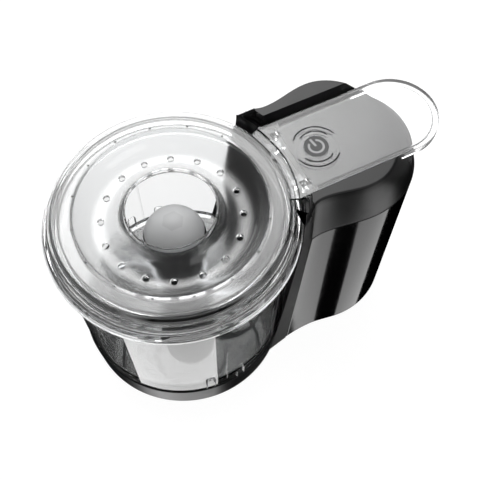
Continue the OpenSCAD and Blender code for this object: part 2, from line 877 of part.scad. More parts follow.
module button_spring() {
    rings_per_turn = 12;
    sides = 6;
    steps = spring_turns * rings_per_turn;
    color("#b9bcc0") at_button()
        loft([for (i = [0:steps])
            let (a = 360 * i / rings_per_turn, z = spring_low + (spring_high - spring_low) * i / steps)
            [for (k = [0:sides - 1])
                let (b = 360 * k / sides, r = spring_r + spring_wire * cos(b))
                [r * cos(a), r * sin(a), z - spring_wire * sin(b)]]]);
}

module rectifier_board() {
    color("#2f6b3f") at_bowl()
        difference() {
            translate([-board_half, board_y, board_low]) cube([2 * board_half, board_t, board_h]);
            board_screw_places() translate([0, -overlap, 0]) rotate([-90, 0, 0]) cylinder(r = 1.2, h = 6);
        }
}

module rectifier_block() {
    color("#1b1b1b") at_bowl()
        translate([-8, board_y - 3.4, board_low + 8]) cube([16, 3.4, 10]);
}

module suppressor_coil() {
    color("#8a5a2b") at_bowl()
        translate([0, board_y - 1.6, board_low + 27]) rotate([90, 0, 0])
            rotate_extrude() translate([4.5, 0]) circle(r = 1.6);
}

module board_screws() {
    color("#8d9094") at_bowl()
        board_screw_places() rotate([-90, 0, 0]) {
            translate([0, 0, -1.4]) cylinder(r = 2, h = 1.4);
            cylinder(r = 1, h = board_t + 4);
        }
}

// Bowl, blade and lid

module bowl() {
    rim_round = 0.8;
    slope = bowl_flare / bowl_h;
    floor_r = bowl_foot_r - bowl_wall + slope * (bowl_inside_z - deck_z);
    floor_round = 4;
    color("#dfe6ea", 0.35) at_bowl()
        rotate_extrude()
            polygon(concat(
                [[bowl_foot_r - bowl_wall, deck_z], [bowl_foot_r, deck_z],
                    [bowl_rim_r - slope * rim_round, bowl_rim_z - rim_round],
                    [bowl_rim_r - rim_round, bowl_rim_z], [bowl_mouth_r + rim_round / 2, bowl_rim_z],
                    [bowl_mouth_r, bowl_rim_z - rim_round / 2]],
                [for (i = [0:6])
                    let (a = 90 * i / 6)
                    [floor_r - floor_round + floor_round * cos(a),
                        bowl_inside_z + floor_round - floor_round * sin(a)]],
                [[tube_r + 0.7, bowl_inside_z], [tube_r, bowl_inside_z + 0.7], [tube_r, tube_top],
                    [tube_bore_r, tube_top], [tube_bore_r, bowl_floor_z],
                    [bowl_foot_r - bowl_wall, bowl_floor_z]]));
}

module blade_hub() {
    dome_start = 12;
    color("#9b9ea1") at_bowl()
        difference() {
            rotate_extrude()
                polygon(concat(
                    [[0, hub_low_z], [hub_stem_r, hub_low_z],
                        [hub_stem_r, low_blade_z], [blade_neck_r, low_blade_z],
                        [blade_neck_r, low_blade_z + blade_t], [hub_stem_r, low_blade_z + blade_t],
                        [hub_stem_r, high_blade_z], [blade_neck_r, high_blade_z],
                        [blade_neck_r, high_blade_z + blade_t], [hub_stem_r, high_blade_z + blade_t],
                        [hub_stem_r, hub_centre_z - 18]],
                    [for (i = [-1:dome_start])
                        let (a = 90 * i / dome_start)
                        [i == dome_start ? 0 : hub_dome_r * cos(a), hub_centre_z + hub_dome_r * sin(a)]]));
            rod(hub_bore_r, hub_low_z - overlap, tube_top + slip_gap);
            translate([0, 0, tube_top]) cylinder(r = hex_r + 0.25, h = hex_top - tube_top, $fn = 6);
        }
}

// Sickle blade: a collar round the hub's neck and one curved arm
module sickle(sweep) {
    steps = 14;
    root = blade_neck_r;
    back = [for (i = [0:steps])
        let (t = i / steps, r = root + (blade_reach - root) * t, a = sweep * t * t)
        [r * cos(a), r * sin(a)]];
    edge = [for (i = [steps:-1:0])
        let (t = i / steps, r = root + (blade_reach - root) * t,
            a = sweep * t * t + (sweep > 0 ? 1 : -1) * 42 * pow(1 - t, 0.7) * root / r)
        [r * cos(a), r * sin(a)]];
    difference() {
        union() {
            circle(r = hub_stem_r + 1.5);
            polygon(concat(back, edge));
        }
        circle(r = blade_neck_r + seated);
    }
}

module lower_blade() {
    color("#d5d8db") at_bowl()
        translate([0, 0, low_blade_z + seated]) rotate([0, 0, 200])
            linear_extrude(blade_t - 2 * seated) sickle(55);
}

module upper_blade() {
    color("#d5d8db") at_bowl()
        translate([0, 0, high_blade_z + seated]) rotate([0, 0, 20])
            linear_extrude(blade_t - 2 * seated) sickle(55);
}

// Half section of the lid, as radius and height above the ring's plane
function trough_arc(r, low, high, steps) =
    [for (i = [0:steps])
        let (a = low + (high - low) * i / steps)
        [trough_mid_r + r * cos(a), trough_centre + r * sin(a)]];
trough_lean = asin(trough_centre / trough_arc_r);
under_arc_r = trough_arc_r + lid_wall;
under_in = acos((trough_mid_r - chimney_r) / under_arc_r);
under_out = asin((trough_centre + lid_wall) / under_arc_r);
skirt = flange_r - ring_r;

function lid_section() = concat(
    [[chimney_r, -0.8], [chimney_r + 0.7, 0]],
    trough_arc(trough_arc_r, 180 + trough_lean, 360 - trough_lean, 18),
    [[trough_r + 0.6, 0], [ring_r - 0.6, 0], [ring_r, -0.6],
        [ring_r + 0.2 * skirt, -0.28 * flange_drop], [ring_r + 0.36 * skirt, -0.28 * flange_drop],
        [ring_r + 0.54 * skirt, -0.62 * flange_drop], [ring_r + 0.74 * skirt, -0.66 * flange_drop],
        [ring_r + 0.86 * skirt, -0.9 * flange_drop], [flange_r, -flange_drop],
        [flange_r, -flange_drop - flange_t], [flange_r - 2.1, -flange_drop - flange_t],
        [bowl_rim_r + 0.7, close_gap - lid_rise], [plug_r + 1.4, close_gap - lid_rise],
        [plug_r + 1.4, close_gap - lid_rise + 1.7], [plug_r, -lid_wall - 2.5], [plug_r, -plug_depth],
        [plug_r - plug_t, -plug_depth], [plug_r - plug_t, -lid_wall]],
    trough_arc(under_arc_r, 360 - under_out, 180 + under_in, 18));

module lid() {
    color("#e6edf1", 0.35) at_bowl()
        difference() {
            union() {
                translate([0, 0, ring_z]) rotate_extrude() polygon(lid_section());
                for (s = [-1, 1])
                    intersection() {
                        translate([s > 0 ? ear_x : -ear_x - ear_w, 0, 0]) {
                            translate([0, ring_r, hinge_z - knuckle_r])
                                cube([ear_w, hinge_y - ring_r, 2 * knuckle_r]);
                            translate([0, hinge_y, hinge_z]) rotate([0, 90, 0])
                                cylinder(r = knuckle_r, h = ear_w);
                        }
                        difference() {
                            rod(flange_r + 4, ring_z - lid_rise, ring_z);
                            rod(ring_r - 1, ring_z - lid_rise - overlap, ring_z + overlap);
                        }
                    }
            }
            for (i = [0:drip_hole_count - 1])
                rotate([0, 0, 360 * i / drip_hole_count]) translate([trough_mid_r, 0, 0])
                    rod(drip_hole_d / 2, ring_z - trough_depth - 2 * lid_wall, ring_z);
            translate([-ear_x - ear_w - overlap, hinge_y, hinge_z]) rotate([0, 90, 0])
                cylinder(r = hinge_pin_r + seated, h = 2 * (ear_x + ear_w + overlap));
        }
}

module paddle_pins() {
    length = ear_w + knuckle_w + close_gap;
    color("#e6edf1") at_bowl()
        for (s = [-1, 1])
            translate([s > 0 ? ear_x : -ear_x - length, hinge_y, hinge_z]) rotate([0, 90, 0])
                cylinder(r = hinge_pin_r, h = length);
}

// Plan of the paddle, drawn in from its outer edge
module paddle_plan(inset) {
    half = paddle_half_w - inset;
    difference() {
        union() {
            translate([-half, 0]) square([2 * half, paddle_end - paddle_half_w]);
            translate([0, paddle_end - paddle_half_w]) circle(r = half);
        }
        circle(r = paddle_front_r + inset);
    }
}

module paddle() {
    knuckle_x = ear_x + ear_w + close_gap;
    color("#e6edf1", 0.35) at_bowl()
        difference() {
            union() {
                translate([0, 0, paddle_under]) linear_extrude(paddle_t) paddle_plan(0);
                translate([0, 0, paddle_top - paddle_skirt_h])
                    linear_extrude(paddle_skirt_h)
                        difference() {
                            paddle_plan(0);
                            paddle_plan(paddle_skirt_t);
                            translate([0, hinge_y]) square([2 * (knuckle_x + knuckle_w), 8], center = true);
                        }
                translate([0, button_y, 0]) rod(4, button_top + close_gap, paddle_top - overlap);
                for (s = [-1, 1])
                    translate([s > 0 ? knuckle_x : -knuckle_x - knuckle_w, hinge_y, hinge_z]) {
                        rotate([0, 90, 0]) cylinder(r = knuckle_r, h = knuckle_w);
                        translate([0, -knuckle_r, 0])
                            cube([knuckle_w, 2 * knuckle_r, paddle_under - hinge_z + overlap]);
                    }
            }
            translate([-knuckle_x - knuckle_w - overlap, hinge_y, hinge_z]) rotate([0, 90, 0])
                cylinder(r = hinge_pin_r + running, h = 2 * (knuckle_x + knuckle_w + overlap));
        }
}

base_platform();
motor_housing();
cradle();
upper_cover();
top_panel();
bottom_cover();
feet();
bottom_screws();
platform_screws();
cord_grommet();
spindle_bush_lower();
spindle_bush_upper();
spindle_seal();
drive_belt();
motor_can();
motor_lower_cap();
motor_upper_cap();
motor_magnets();
motor_bush_lower();
motor_bush_upper();
brushes();
motor_mount_ring();
motor_screws();
switch_body();
switch_bracket();
switch_screws();
rectifier_board();
rectifier_block();
suppressor_coil();
board_screws();
button_spring();
drive_spindle();
spindle_pulley();
retaining_ring();
thrust_washer();
motor_shaft();
rotor_core();
rotor_windings();
commutator();
motor_fan();
motor_pulley();
pulse_button();
button_collar();
switch_plunger();
bowl();
blade_hub();
lower_blade();
upper_blade();
lid();
paddle_pins();
paddle();
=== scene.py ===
import math
from collections import namedtuple

import bmesh
import bpy
from mathutils import Matrix, Vector


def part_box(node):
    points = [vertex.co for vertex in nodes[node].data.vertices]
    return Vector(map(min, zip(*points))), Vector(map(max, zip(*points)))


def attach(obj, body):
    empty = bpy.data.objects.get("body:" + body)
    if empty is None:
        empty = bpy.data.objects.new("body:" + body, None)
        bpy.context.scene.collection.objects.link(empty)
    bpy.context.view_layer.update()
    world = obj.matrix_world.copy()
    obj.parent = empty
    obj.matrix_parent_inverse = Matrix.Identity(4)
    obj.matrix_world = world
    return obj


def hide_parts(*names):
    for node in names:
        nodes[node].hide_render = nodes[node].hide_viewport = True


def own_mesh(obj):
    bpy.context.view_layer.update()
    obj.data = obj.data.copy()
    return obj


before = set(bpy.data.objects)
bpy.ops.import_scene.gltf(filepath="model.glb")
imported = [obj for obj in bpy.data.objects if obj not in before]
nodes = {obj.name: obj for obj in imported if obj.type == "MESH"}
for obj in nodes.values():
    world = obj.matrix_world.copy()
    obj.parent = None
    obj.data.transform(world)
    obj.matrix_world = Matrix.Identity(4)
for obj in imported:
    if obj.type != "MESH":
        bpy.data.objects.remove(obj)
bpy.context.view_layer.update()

# Lengths are millimetres: x and y from the bowl's axis, z up from the table.
MM = 0.001
AXIS_Y = -39.95

SHARP = 32
ABOVE = 140

# Column outlines at four heights: half-widths at the front corner, the waist and the belly, radius of
# the concave front, then the depths from corner to waist, from waist to belly and from belly to rear.
Level = namedtuple("Level", "z corner waist belly front waist_deep belly_deep rear_deep")
LEVELS = [
    Level(2, 42, 39.2, 41.7, 56.4, 22.2, 22, 42),
    Level(97, 36.5, 32.2, 35.2, 62.2, 13.7, 28, 38.5),
    Level(115, 35.5, 30.3, 34.2, 62.2, 12.6, 26, 35.3),
    Level(125, 35.3, 29.6, 33.1, 62.2, 12.2, 24, 27),
]
FOOT_Z = 2
PART_LINE = 7.2
WALL = 2.5
HOUSING_TOP = 96.9
COVER_FOOT = 97.1
SHOULDER_Z = 125
CHANNEL_HALF = 24.5
CHANNEL_Z = 110.7
COVER_BORE_R = 64.7
CRADLE_TOP = 118
CRADLE_STEP = 104
CRADLE_WALL = 2.2
PANEL_FRONT_Y = 66.65
PANEL_REAR_R = 47

PLATFORM_LOW_R = 54.3
PLATFORM_HIGH_R = 55.5
PLATFORM_UNDER = 17.6
BOWL_FOOT_R = 54.8
BOWL_FOOT_Z = 20.5
BOWL_FLOOR_Z = 28.4
BOWL_RIM_Z = 109
BOWL_WALL = 2.2
BOWL_SLOPE = 2.4 / (BOWL_RIM_Z - BOWL_FOOT_Z)

HUB_DOME_R = 15.5
HUB_DOME_Z = 93
HUB_SPLIT_Z = 98
BLADE_ROOT = 11.0
BLADE_REACH = 48.0
BLADE_THICK = 1.4

RING_Z = 120
TROUGH_R = 33.475
TROUGH_ARC = 11.88
TROUGH_RISE = 2.88
LID_WALL = 2.2

PADDLE_HALF = 22.3
PADDLE_FRONT_R = 59.5
PADDLE_REAR_Y = 119.1
PADDLE_TOP = 120.6
PADDLE_UNDER = 118.4
PADDLE_SKIRT_Z = 116
PADDLE_SKIRT = 2.8
HINGE_Y = 62
HINGE_Z = 114.8
HINGE_R = 2.65
BUTTON_Y = 77.5
MARK_Y = 76
INK = 0.04


def spot(x, y, z):
    """A point in the frame's metres."""
    return Vector((x, y + AXIS_Y, z)) * MM


def loose(x, y, z):
    """A point of a shape that is copied into place later."""
    return Vector((x, y, z)) * MM


def new_object(name, mesh):
    obj = bpy.data.objects.new(name, mesh)
    bpy.context.scene.collection.objects.link(obj)
    return obj


def skin(name, rings, loop=False, ends=True, to=spot, sharp=SHARP):
    """A mesh through closed rings of points; loop joins the last ring to the first, ends closes them."""
    count = len(rings[0])
    points = [to(*p) for ring in rings for p in ring]
    faces = []
    for i in range(len(rings) if loop else len(rings) - 1):
        a = i * count
        b = (i + 1) % len(rings) * count
        for j in range(count):
            k = (j + 1) % count
            faces.append((a + j, a + k, b + k, b + j))
    if ends and not loop:
        faces.append(tuple(range(count)))
        faces.append(tuple(range((len(rings) - 1) * count, len(rings) * count)))
    mesh = bpy.data.meshes.new(name)
    mesh.from_pydata(points, [], faces)
    settle(mesh, sharp)
    return new_object(name, mesh)


def smooth(mesh, sharp=SHARP):
    """Shades smooth between edges that turn by more than an angle in degrees."""
    mesh.shade_smooth()
    mesh.set_sharp_from_angle(angle=math.radians(sharp))


def settle(mesh, sharp):
    """Merges doubles, turns the faces outwards and shades smooth between sharp edges."""
    bm = bmesh.new()
    bm.from_mesh(mesh)
    bmesh.ops.remove_doubles(bm, verts=bm.verts, dist=2e-6)
    bmesh.ops.dissolve_degenerate(bm, edges=bm.edges, dist=1e-6)
    bmesh.ops.recalc_face_normals(bm, faces=bm.faces)
    bm.to_mesh(mesh)
    bm.free()
    smooth(mesh, sharp)


def arc(cx, cy, radius, start, end, steps):
    """Points on an arc, angles in degrees."""
    turns = [math.radians(start + (end - start) * i / steps) for i in range(steps + 1)]
    return [(cx + radius * math.cos(a), cy + radius * math.sin(a)) for a in turns]


def rounded(points, radius, closed=True, steps=4):
    """Rounds the corners of an outline; a third number on a point is its own radius."""
    out = []
    last = len(points) - 1
    for i, point in enumerate(points):
        c = Vector(point[:2])
        size = point[2] if len(point) > 2 else radius
        if size == 0 or (not closed and i in (0, last)):
            out.append(tuple(c))
            continue
        u = Vector(points[i - 1][:2]) - c
        v = Vector(points[(i + 1) % len(points)][:2]) - c
        room = 0.42 * min(u.length, v.length)
        u.normalize()
        v.normalize()
        half = u.angle(v) / 2
        if half > math.radians(84):
            out.append(tuple(c))
            continue
        reach = min(size / math.tan(half), room)
        size = reach * math.tan(half)
        middle = c + (u + v).normalized() * (size / math.sin(half))
        first = c + u * reach - middle
        turn = math.pi - 2 * half
        side = 1 if u.x * v.y - u.y * v.x < 0 else -1
        out.append(tuple(c + u * reach * 1.15))
        for k in range(steps + 1):
            spun = Matrix.Rotation(side * turn * k / steps, 2) @ first
            out.append(tuple(middle + spun))
        out.append(tuple(c + v * reach * 1.15))
    return out


def lathe(name, profile, turns=160, loop=True, y=0.0, to=spot):
    """A turned form about an upright axis at y, from a profile of radius and height."""
    spins = [2 * math.pi * i / turns for i in range(turns)]
    rings = [[(r * math.cos(a), y + r * math.sin(a), z) for a in spins] for r, z in profile]
    return skin(name, rings, loop, False, to)


def drill(radius, low, high, turns=160, y=0.0):
    """A round upright cutter."""
    return lathe("drill", [(0, low), (radius, low), (radius, high), (0, high)], turns, False, y)


def block(name, low, high):
    """A plain block between two corners."""
    (x0, y0, z0), (x1, y1, z1) = low, high
    rings = [[(x0, y0, z), (x1, y0, z), (x1, y1, z), (x0, y1, z)] for z in (z0, z1)]
    return skin(name, rings)


def rod_x(name, x0, x1, y, z, radius, turns=48):
    """A round bar along x with eased ends."""
    ease = 0.25
    stations = [(x0, radius - ease), (x0 + ease, radius), (x1 - ease, radius), (x1, radius - ease)]
    rings = [[(x, y + b, z + c) for b, c in arc(0, 0, r, 0, 360, turns)[:-1]] for x, r in stations]
    return skin(name, rings)


def plain_copy(obj):
    """Bakes an object's modifiers into a mesh of its own."""
    bpy.context.view_layer.update()
    done = obj.evaluated_get(bpy.context.evaluated_depsgraph_get())
    mesh = bpy.data.meshes.new_from_object(done)
    mesh.name = obj.name
    obj.modifiers.clear()
    obj.data = mesh


def carved(piece, cut=(), joined=(), bevel=0.0, sharp=SHARP, limit=40):
    """Joins and cuts solids, then eases the edges that are left."""
    for others, kind in ((joined, "UNION"), (cut, "DIFFERENCE")):
        for other in others:
            step = piece.modifiers.new(kind.lower(), "BOOLEAN")
            step.operation = kind
            step.solver = "MANIFOLD"
            step.object = other
    plain_copy(piece)
    for other in list(cut) + list(joined):
        bpy.data.objects.remove(other)
    settle(piece.data, sharp)
    if bevel:
        step = piece.modifiers.new("edges", "BEVEL")
        step.width = bevel * MM
        step.segments = 3
        step.limit_method = "ANGLE"
        step.angle_limit = math.radians(limit)
        step.harden_normals = True
        plain_copy(piece)
    return piece


def merged(name, parts):
    """Several separate forms as one piece."""
    bm = bmesh.new()
    for part in parts:
        bm.from_mesh(part.data)
    mesh = bpy.data.meshes.new(name)
    bm.to_mesh(mesh)
    bm.free()
    for part in parts:
        bpy.data.objects.remove(part)
    smooth(mesh)
    return new_object(name, mesh)


# Copies round a circle

def ring_of_copies():
    """Node tree that sets copies of a shape round a circle, each turned to face outwards."""
    tree = bpy.data.node_groups.new("ring_of_copies", "GeometryNodeTree")
    sockets = (("Geometry", "Geometry"), ("Shape", "Object"), ("Count", "Int"), ("Radius", "Float"),
               ("Turn", "Float"), ("Centre", "Vector"), ("Finish", "Material"))
    for name, kind in sockets:
        tree.interface.new_socket(name, in_out="INPUT", socket_type="NodeSocket" + kind)
    tree.interface.new_socket("Geometry", in_out="OUTPUT", socket_type="NodeSocketGeometry")

    def add(kind, links=(), **settings):
        node = tree.nodes.new(kind)
        for key, value in settings.items():
            setattr(node, key, value)
        for socket, source in links:
            tree.links.new(source, node.inputs[socket])
        return node

    given = add("NodeGroupInput").outputs
    shape = add("GeometryNodeObjectInfo", [("Object", given["Shape"])])
    step = add("ShaderNodeMath", [(1, given["Count"])], operation="DIVIDE")
    step.inputs[0].default_value = 2 * math.pi
    spin = add("ShaderNodeMath", [(0, add("GeometryNodeInputIndex").outputs[0]), (1, step.outputs[0])],
               operation="MULTIPLY")
    face = add("ShaderNodeCombineXYZ", [("Z", spin.outputs[0])])
    reach = add("ShaderNodeCombineXYZ", [("X", given["Radius"])])
    round_it = add("ShaderNodeVectorRotate", [("Vector", reach.outputs[0]), ("Angle", spin.outputs[0])],
                   rotation_type="Z_AXIS")
    spots = add("GeometryNodePoints", [("Count", given["Count"]), ("Position", round_it.outputs[0])])
    copies = add("GeometryNodeInstanceOnPoints", [("Points", spots.outputs[0]),
                 ("Instance", shape.outputs["Geometry"]), ("Rotation", face.outputs[0])])
    real = add("GeometryNodeRealizeInstances", [("Geometry", copies.outputs[0])])
    turn = add("ShaderNodeCombineXYZ", [("Z", given["Turn"])])
    moved = add("GeometryNodeTransform", [("Geometry", real.outputs[0]),
                ("Translation", given["Centre"]), ("Rotation", turn.outputs[0])])
    done = add("GeometryNodeSetMaterial", [("Geometry", moved.outputs[0]), ("Material", given["Finish"])])
    add("NodeGroupOutput", [("Geometry", done.outputs[0])])
    return tree


RING_TREE = ring_of_copies()


def ring_copies(name, shape, count, radius, z, finish, turn=0.0):
    """Copies of a loose shape round the bowl's axis, as one mesh."""
    obj = new_object(name, bpy.data.meshes.new(name))
    step = obj.modifiers.new("ring", "NODES")
    step.node_group = RING_TREE
    values = {"Shape": shape, "Count": count, "Radius": radius * MM, "Turn": math.radians(turn),
              "Centre": spot(0, 0, z), "Finish": finish}
    for socket in RING_TREE.interface.items_tree:
        if socket.in_out == "INPUT" and socket.name in values:
            step[socket.identifier] = values[socket.name]
    plain_copy(obj)
    bpy.data.objects.remove(shape)
    smooth(obj.data)
    return obj


# Finishes

class Field:
    """A socket in a shader tree; arithmetic on it adds nodes."""

    def __init__(self, tree, socket=None):
        self.tree = tree
        self.socket = socket

    def node(self, kind, inputs=(), output=0, **settings):
        """Adds a node, its settings first, then its socket values and links."""
        made = self.tree.nodes.new(kind)
        for key, value in settings.items():
            setattr(made, key, value)
        for key, value in dict(inputs).items():
            if isinstance(value, Field):
                self.tree.links.new(value.socket, made.inputs[key])
            else:
                made.inputs[key].default_value = value
        return Field(self.tree, made.outputs[output])

    def math(self, operation, first, second=0.0):
        return self.node("ShaderNodeMath", {0: first, 1: second}, operation=operation)

    def __add__(self, other):
        return self.math("ADD", self, other)

    def __sub__(self, other):
        return self.math("SUBTRACT", self, other)

    def __mul__(self, other):
        return self.math("MULTIPLY", self, other)

    def size(self):
        return self.math("ABSOLUTE", self)

    def at_least(self, other):
        return self.math("MAXIMUM", self, other)

    def ramp(self, low, high, start=0.0, end=1.0):
        """Smooth step from start to end as the field goes from low to high."""
        values = {"Value": self, "From Min": low, "From Max": high, "To Min": start, "To Max": end}
        return self.node("ShaderNodeMapRange", values, interpolation_type="SMOOTHSTEP")

    def blend(self, first, second):
        """Colour between two colours by this field."""
        return self.node("ShaderNodeMix", {0: self, 6: first, 7: second}, 2, data_type="RGBA")

    def stretched(self, x, y, z):
        return self.node("ShaderNodeVectorMath", {0: self, 1: (x, y, z)}, operation="MULTIPLY")

    def noise(self, scale, detail=2.0, rough=0.5):
        values = {"Vector": self, "Scale": scale, "Detail": detail, "Roughness": rough}
        return self.node("ShaderNodeTexNoise", values)

    def cells(self, scale):
        return self.node("ShaderNodeTexVoronoi", {"Vector": self, "Scale": scale})

    def part(self, axis):
        return self.node("ShaderNodeSeparateXYZ", {0: self}, "XYZ".index(axis))


class Finish:
    """A Principled material; constants go straight on its sockets."""

    def __init__(self, name, **constants):
        self.material = bpy.data.materials.new(name)
        self.material.use_nodes = True
        self.tree = self.material.node_tree
        self.shader = self.tree.nodes["Principled BSDF"]
        for key, value in constants.items():
            self.shader.inputs[key.replace("_", " ")].default_value = value
        self.start = Field(self.tree)
        self.place = self.start.node("ShaderNodeTexCoord", output="Object")

    def vary(self, socket, field):
        self.tree.links.new(field.socket, self.shader.inputs[socket])

    def bump(self, height, depth):
        """Relief with the given depth in millimetres."""
        values = {"Height": height, "Distance": depth * MM, "Strength": 1.0}
        self.vary("Normal", self.start.node("ShaderNodeBump", values))


def tone(colour, factor):
    """A colour made lighter or darker, with full opacity."""
    return tuple(min(1.0, c * factor) for c in colour) + (1.0,)


def moulded(name, colour, rough, spread, grain, depth, speck=0.0, **constants):
    """Moulded plastic or rubber: drifting tone, handled patches and a fine surface grain."""
    finish = Finish(name, **constants)
    place = finish.place
    drift = place.noise(38, 3)
    handled = place.noise(95, 4, 0.6).ramp(0.48, 0.72)
    fine = place.noise(grain, 2, 0.6)
    finish.vary("Base Color", (drift * 0.6 + handled * 0.25).blend(tone(colour, 0.86), tone(colour, 1.22)))
    dust = place.cells(900).ramp(0.11, 0.02, 0.0, speck)
    finish.vary("Roughness", drift * spread + handled * (spread * 0.8) + dust + (rough - spread * 0.6))
    finish.bump(fine + drift * 0.4, depth)
    return finish.material


def metal(name, colour, rough, stretch, depth, stain=0.15):
    """Worked metal: tool lines along one direction, soft stains and dulled patches."""
    finish = Finish(name, Metallic=1.0)
    place = finish.place
    lines = place.stretched(*stretch).noise(1.0, 3, 0.7)
    broad = place.noise(120, 3, 0.6)
    shade = lines * 0.45 + broad * 0.55
    finish.vary("Base Color", shade.blend(tone(colour, 1 - stain), tone(colour, 1 + stain)))
    finish.vary("Roughness", lines * 0.16 + broad * 0.12 + (rough - 0.13))
    finish.bump(lines, depth)
    return finish.material


def clear_moulding():
    """Clear plastic: slight waviness, fine swirl marks, handled patches and frosting under the lid."""
    finish = Finish("clear_plastic", Base_Color=(0.985, 0.99, 0.992, 1.0), IOR=1.5, Transmission_Weight=1.0)
    frosting = 0.2
    place = finish.place
    wave = place.noise(26, 1, 0.4)
    swirl = place.stretched(1.0, 1.0, 0.35).noise(750, 3, 0.65)
    handled = place.noise(70, 3).ramp(0.55, 0.75)
    flat = place.node("ShaderNodeVectorMath", {0: place, 1: (0, AXIS_Y * MM, 0)}, operation="SUBTRACT")
    flat = flat.stretched(1.0, 1.0, 0.0)
    reach = flat.node("ShaderNodeVectorMath", {0: flat}, "Value", operation="LENGTH") - TROUGH_R * MM
    rise = place.part("Z") - (RING_Z + TROUGH_RISE) * MM
    square = reach * reach + rise * rise
    bend = square.math("SQRT", square)
    # The trough's underside lies about 14 mm from the centre of its arc, the ring's underside 5 mm below it.
    trough = bend.ramp(12.5 * MM, 13.0 * MM) * bend.ramp(14.9 * MM, 14.4 * MM)
    trough = trough * rise.ramp(-3.4 * MM, -5.0 * MM)
    ring = rise.ramp(-5.3 * MM, -5.2 * MM) * rise.ramp(-4.8 * MM, -4.9 * MM)
    ring = ring * reach.ramp(13.4 * MM, 14.0 * MM) * reach.ramp(19.4 * MM, 19.0 * MM)
    finish.vary("Roughness", swirl * 0.006 + handled * 0.008 + (trough + ring) * frosting + 0.002)
    finish.bump(wave, 0.01)
    return finish.material


def hub_moulding_painted_stem_shade():
    """Satin grey dome with a faint hexagon, over a polished stem whose near-black colour is painted shade for
    the hub's shadowed lower part.
    """
    finish = Finish("hub_grey")
    place = finish.place
    drift = place.noise(60, 3)
    fine = place.noise(1500, 2, 0.6)
    dome = place.part("Z").ramp((HUB_SPLIT_Z - 0.2) * MM, (HUB_SPLIT_Z + 0.2) * MM)
    grey = drift.blend((0.49, 0.495, 0.5, 1), (0.57, 0.575, 0.58, 1))
    # Painted shade: below the split the stem's colour is near-black, standing in for the shadow on the hub's
    # lower part.
    dark = drift.blend((0.012, 0.012, 0.013, 1), (0.02, 0.02, 0.021, 1))
    across = place.part("X").size()
    along = (place.part("Y") - AXIS_Y * MM).size()
    hexagon = across.at_least(across * 0.5 + along * 0.866).ramp(4.9 * MM, 4.6 * MM)
    finish.vary("Base Color", dome.blend(dark, (hexagon * 0.5).blend(grey, (0.4, 0.405, 0.41, 1))))
    finish.vary("Roughness", dome * 0.27 + drift * 0.08 + 0.12)
    finish.bump(fine + drift * 0.4, 0.02)
    return finish.material


def wound_copper():
    """Enamelled wire: fine turns with darker gaps and warm drifting tone."""
    finish = Finish("copper", Metallic=1.0)
    place = finish.place
    values = {"Vector": place, "Scale": 260.0, "Distortion": 1.5, "Detail": 1.0}
    turns = place.node("ShaderNodeTexWave", values, bands_direction="DIAGONAL")
    broad = place.noise(150, 3)
    finish.vary("Base Color", (turns * 0.6 + broad * 0.4).blend((0.32, 0.13, 0.05, 1), (0.72, 0.38, 0.19, 1)))
    finish.vary("Roughness", broad * 0.2 + 0.22)
    finish.bump(turns, 0.12)
    return finish.material


def laminated_iron():
    """Stacked sheet iron: thin layers along the shaft with traces of oil and dull rust."""
    finish = Finish("core_iron", Metallic=1.0)
    place = finish.place
    sheet = 0.25 * MM
    height = place.part("Z")
    layers = height.math("PINGPONG", height, sheet) * (1 / sheet)
    broad = place.noise(180, 4, 0.6)
    shade = broad * 0.7 + layers * 0.3
    finish.vary("Base Color", shade.blend((0.2, 0.185, 0.17, 1), (0.42, 0.42, 0.43, 1)))
    finish.vary("Roughness", broad * 0.25 + 0.3)
    finish.bump(layers, 0.06)
    return finish.material


def circuit_board():
    """Lacquered board: tracks under green lacquer, and a faint glass weave."""
    finish = Finish("board_green")
    place = finish.place
    tracks = place.stretched(1.0, 0.0, 1.0).cells(170).ramp(0.32, 0.38)
    weave = place.noise(1400, 1)
    finish.vary("Base Color", tracks.blend((0.03, 0.13, 0.055, 1), (0.07, 0.25, 0.11, 1)))
    finish.vary("Roughness", weave * 0.2 + 0.25)
    finish.bump(tracks + weave * 0.3, 0.05)
    return finish.material


FINISHES = {
    "black_gloss": moulded("black_gloss", (0.007, 0.007, 0.0075), 0.08, 0.04, 340, 0.0015, 0.03),
    "black_satin": moulded("black_satin", (0.011, 0.011, 0.0115), 0.3, 0.04, 2100, 0.012,
                           Specular_IOR_Level=0.32),
    "dark_panel": moulded("dark_panel", (0.02, 0.02, 0.021), 0.55, 0.08, 1500, 0.02,
                          Specular_IOR_Level=0.25),
    "clear_plastic": clear_moulding(),
    "hub_grey": hub_moulding_painted_stem_shade(),
    "blade_steel": metal("blade_steel", (0.45, 0.455, 0.465), 0.3, (900, 90, 900), 0.012),
    "plain_steel": metal("plain_steel", (0.55, 0.56, 0.58), 0.32, (40, 40, 5200), 0.012),
    "spring_steel": metal("spring_steel", (0.6, 0.6, 0.62), 0.3, (600, 600, 600), 0.01),
    "bronze": metal("bronze", (0.55, 0.4, 0.22), 0.4, (1800, 1800, 1800), 0.02),
    "copper": wound_copper(),
    "black_rubber": moulded("black_rubber", (0.022, 0.022, 0.022), 0.72, 0.1, 1300, 0.05),
    "can_steel": metal("can_steel", (0.5, 0.52, 0.54), 0.34, (160, 160, 1500), 0.01, 0.1),
    "cast_zinc": metal("cast_zinc", (0.5, 0.51, 0.53), 0.45, (1400, 1400, 1400), 0.03),
    "dark_magnet": moulded("dark_magnet", (0.1, 0.1, 0.105), 0.6, 0.12, 1700, 0.04),
    "core_iron": laminated_iron(),
    "carbon": moulded("carbon", (0.05, 0.05, 0.053), 0.5, 0.12, 2600, 0.03),
    "moulded_white": moulded("moulded_white", (0.72, 0.71, 0.67), 0.45, 0.08, 1200, 0.03),
    "moulded_dark": moulded("moulded_dark", (0.05, 0.053, 0.057), 0.45, 0.08, 1200, 0.03),
    "board_green": circuit_board(),
    "plunger_red": moulded("plunger_red", (0.46, 0.05, 0.03), 0.4, 0.06, 1200, 0.02),
}
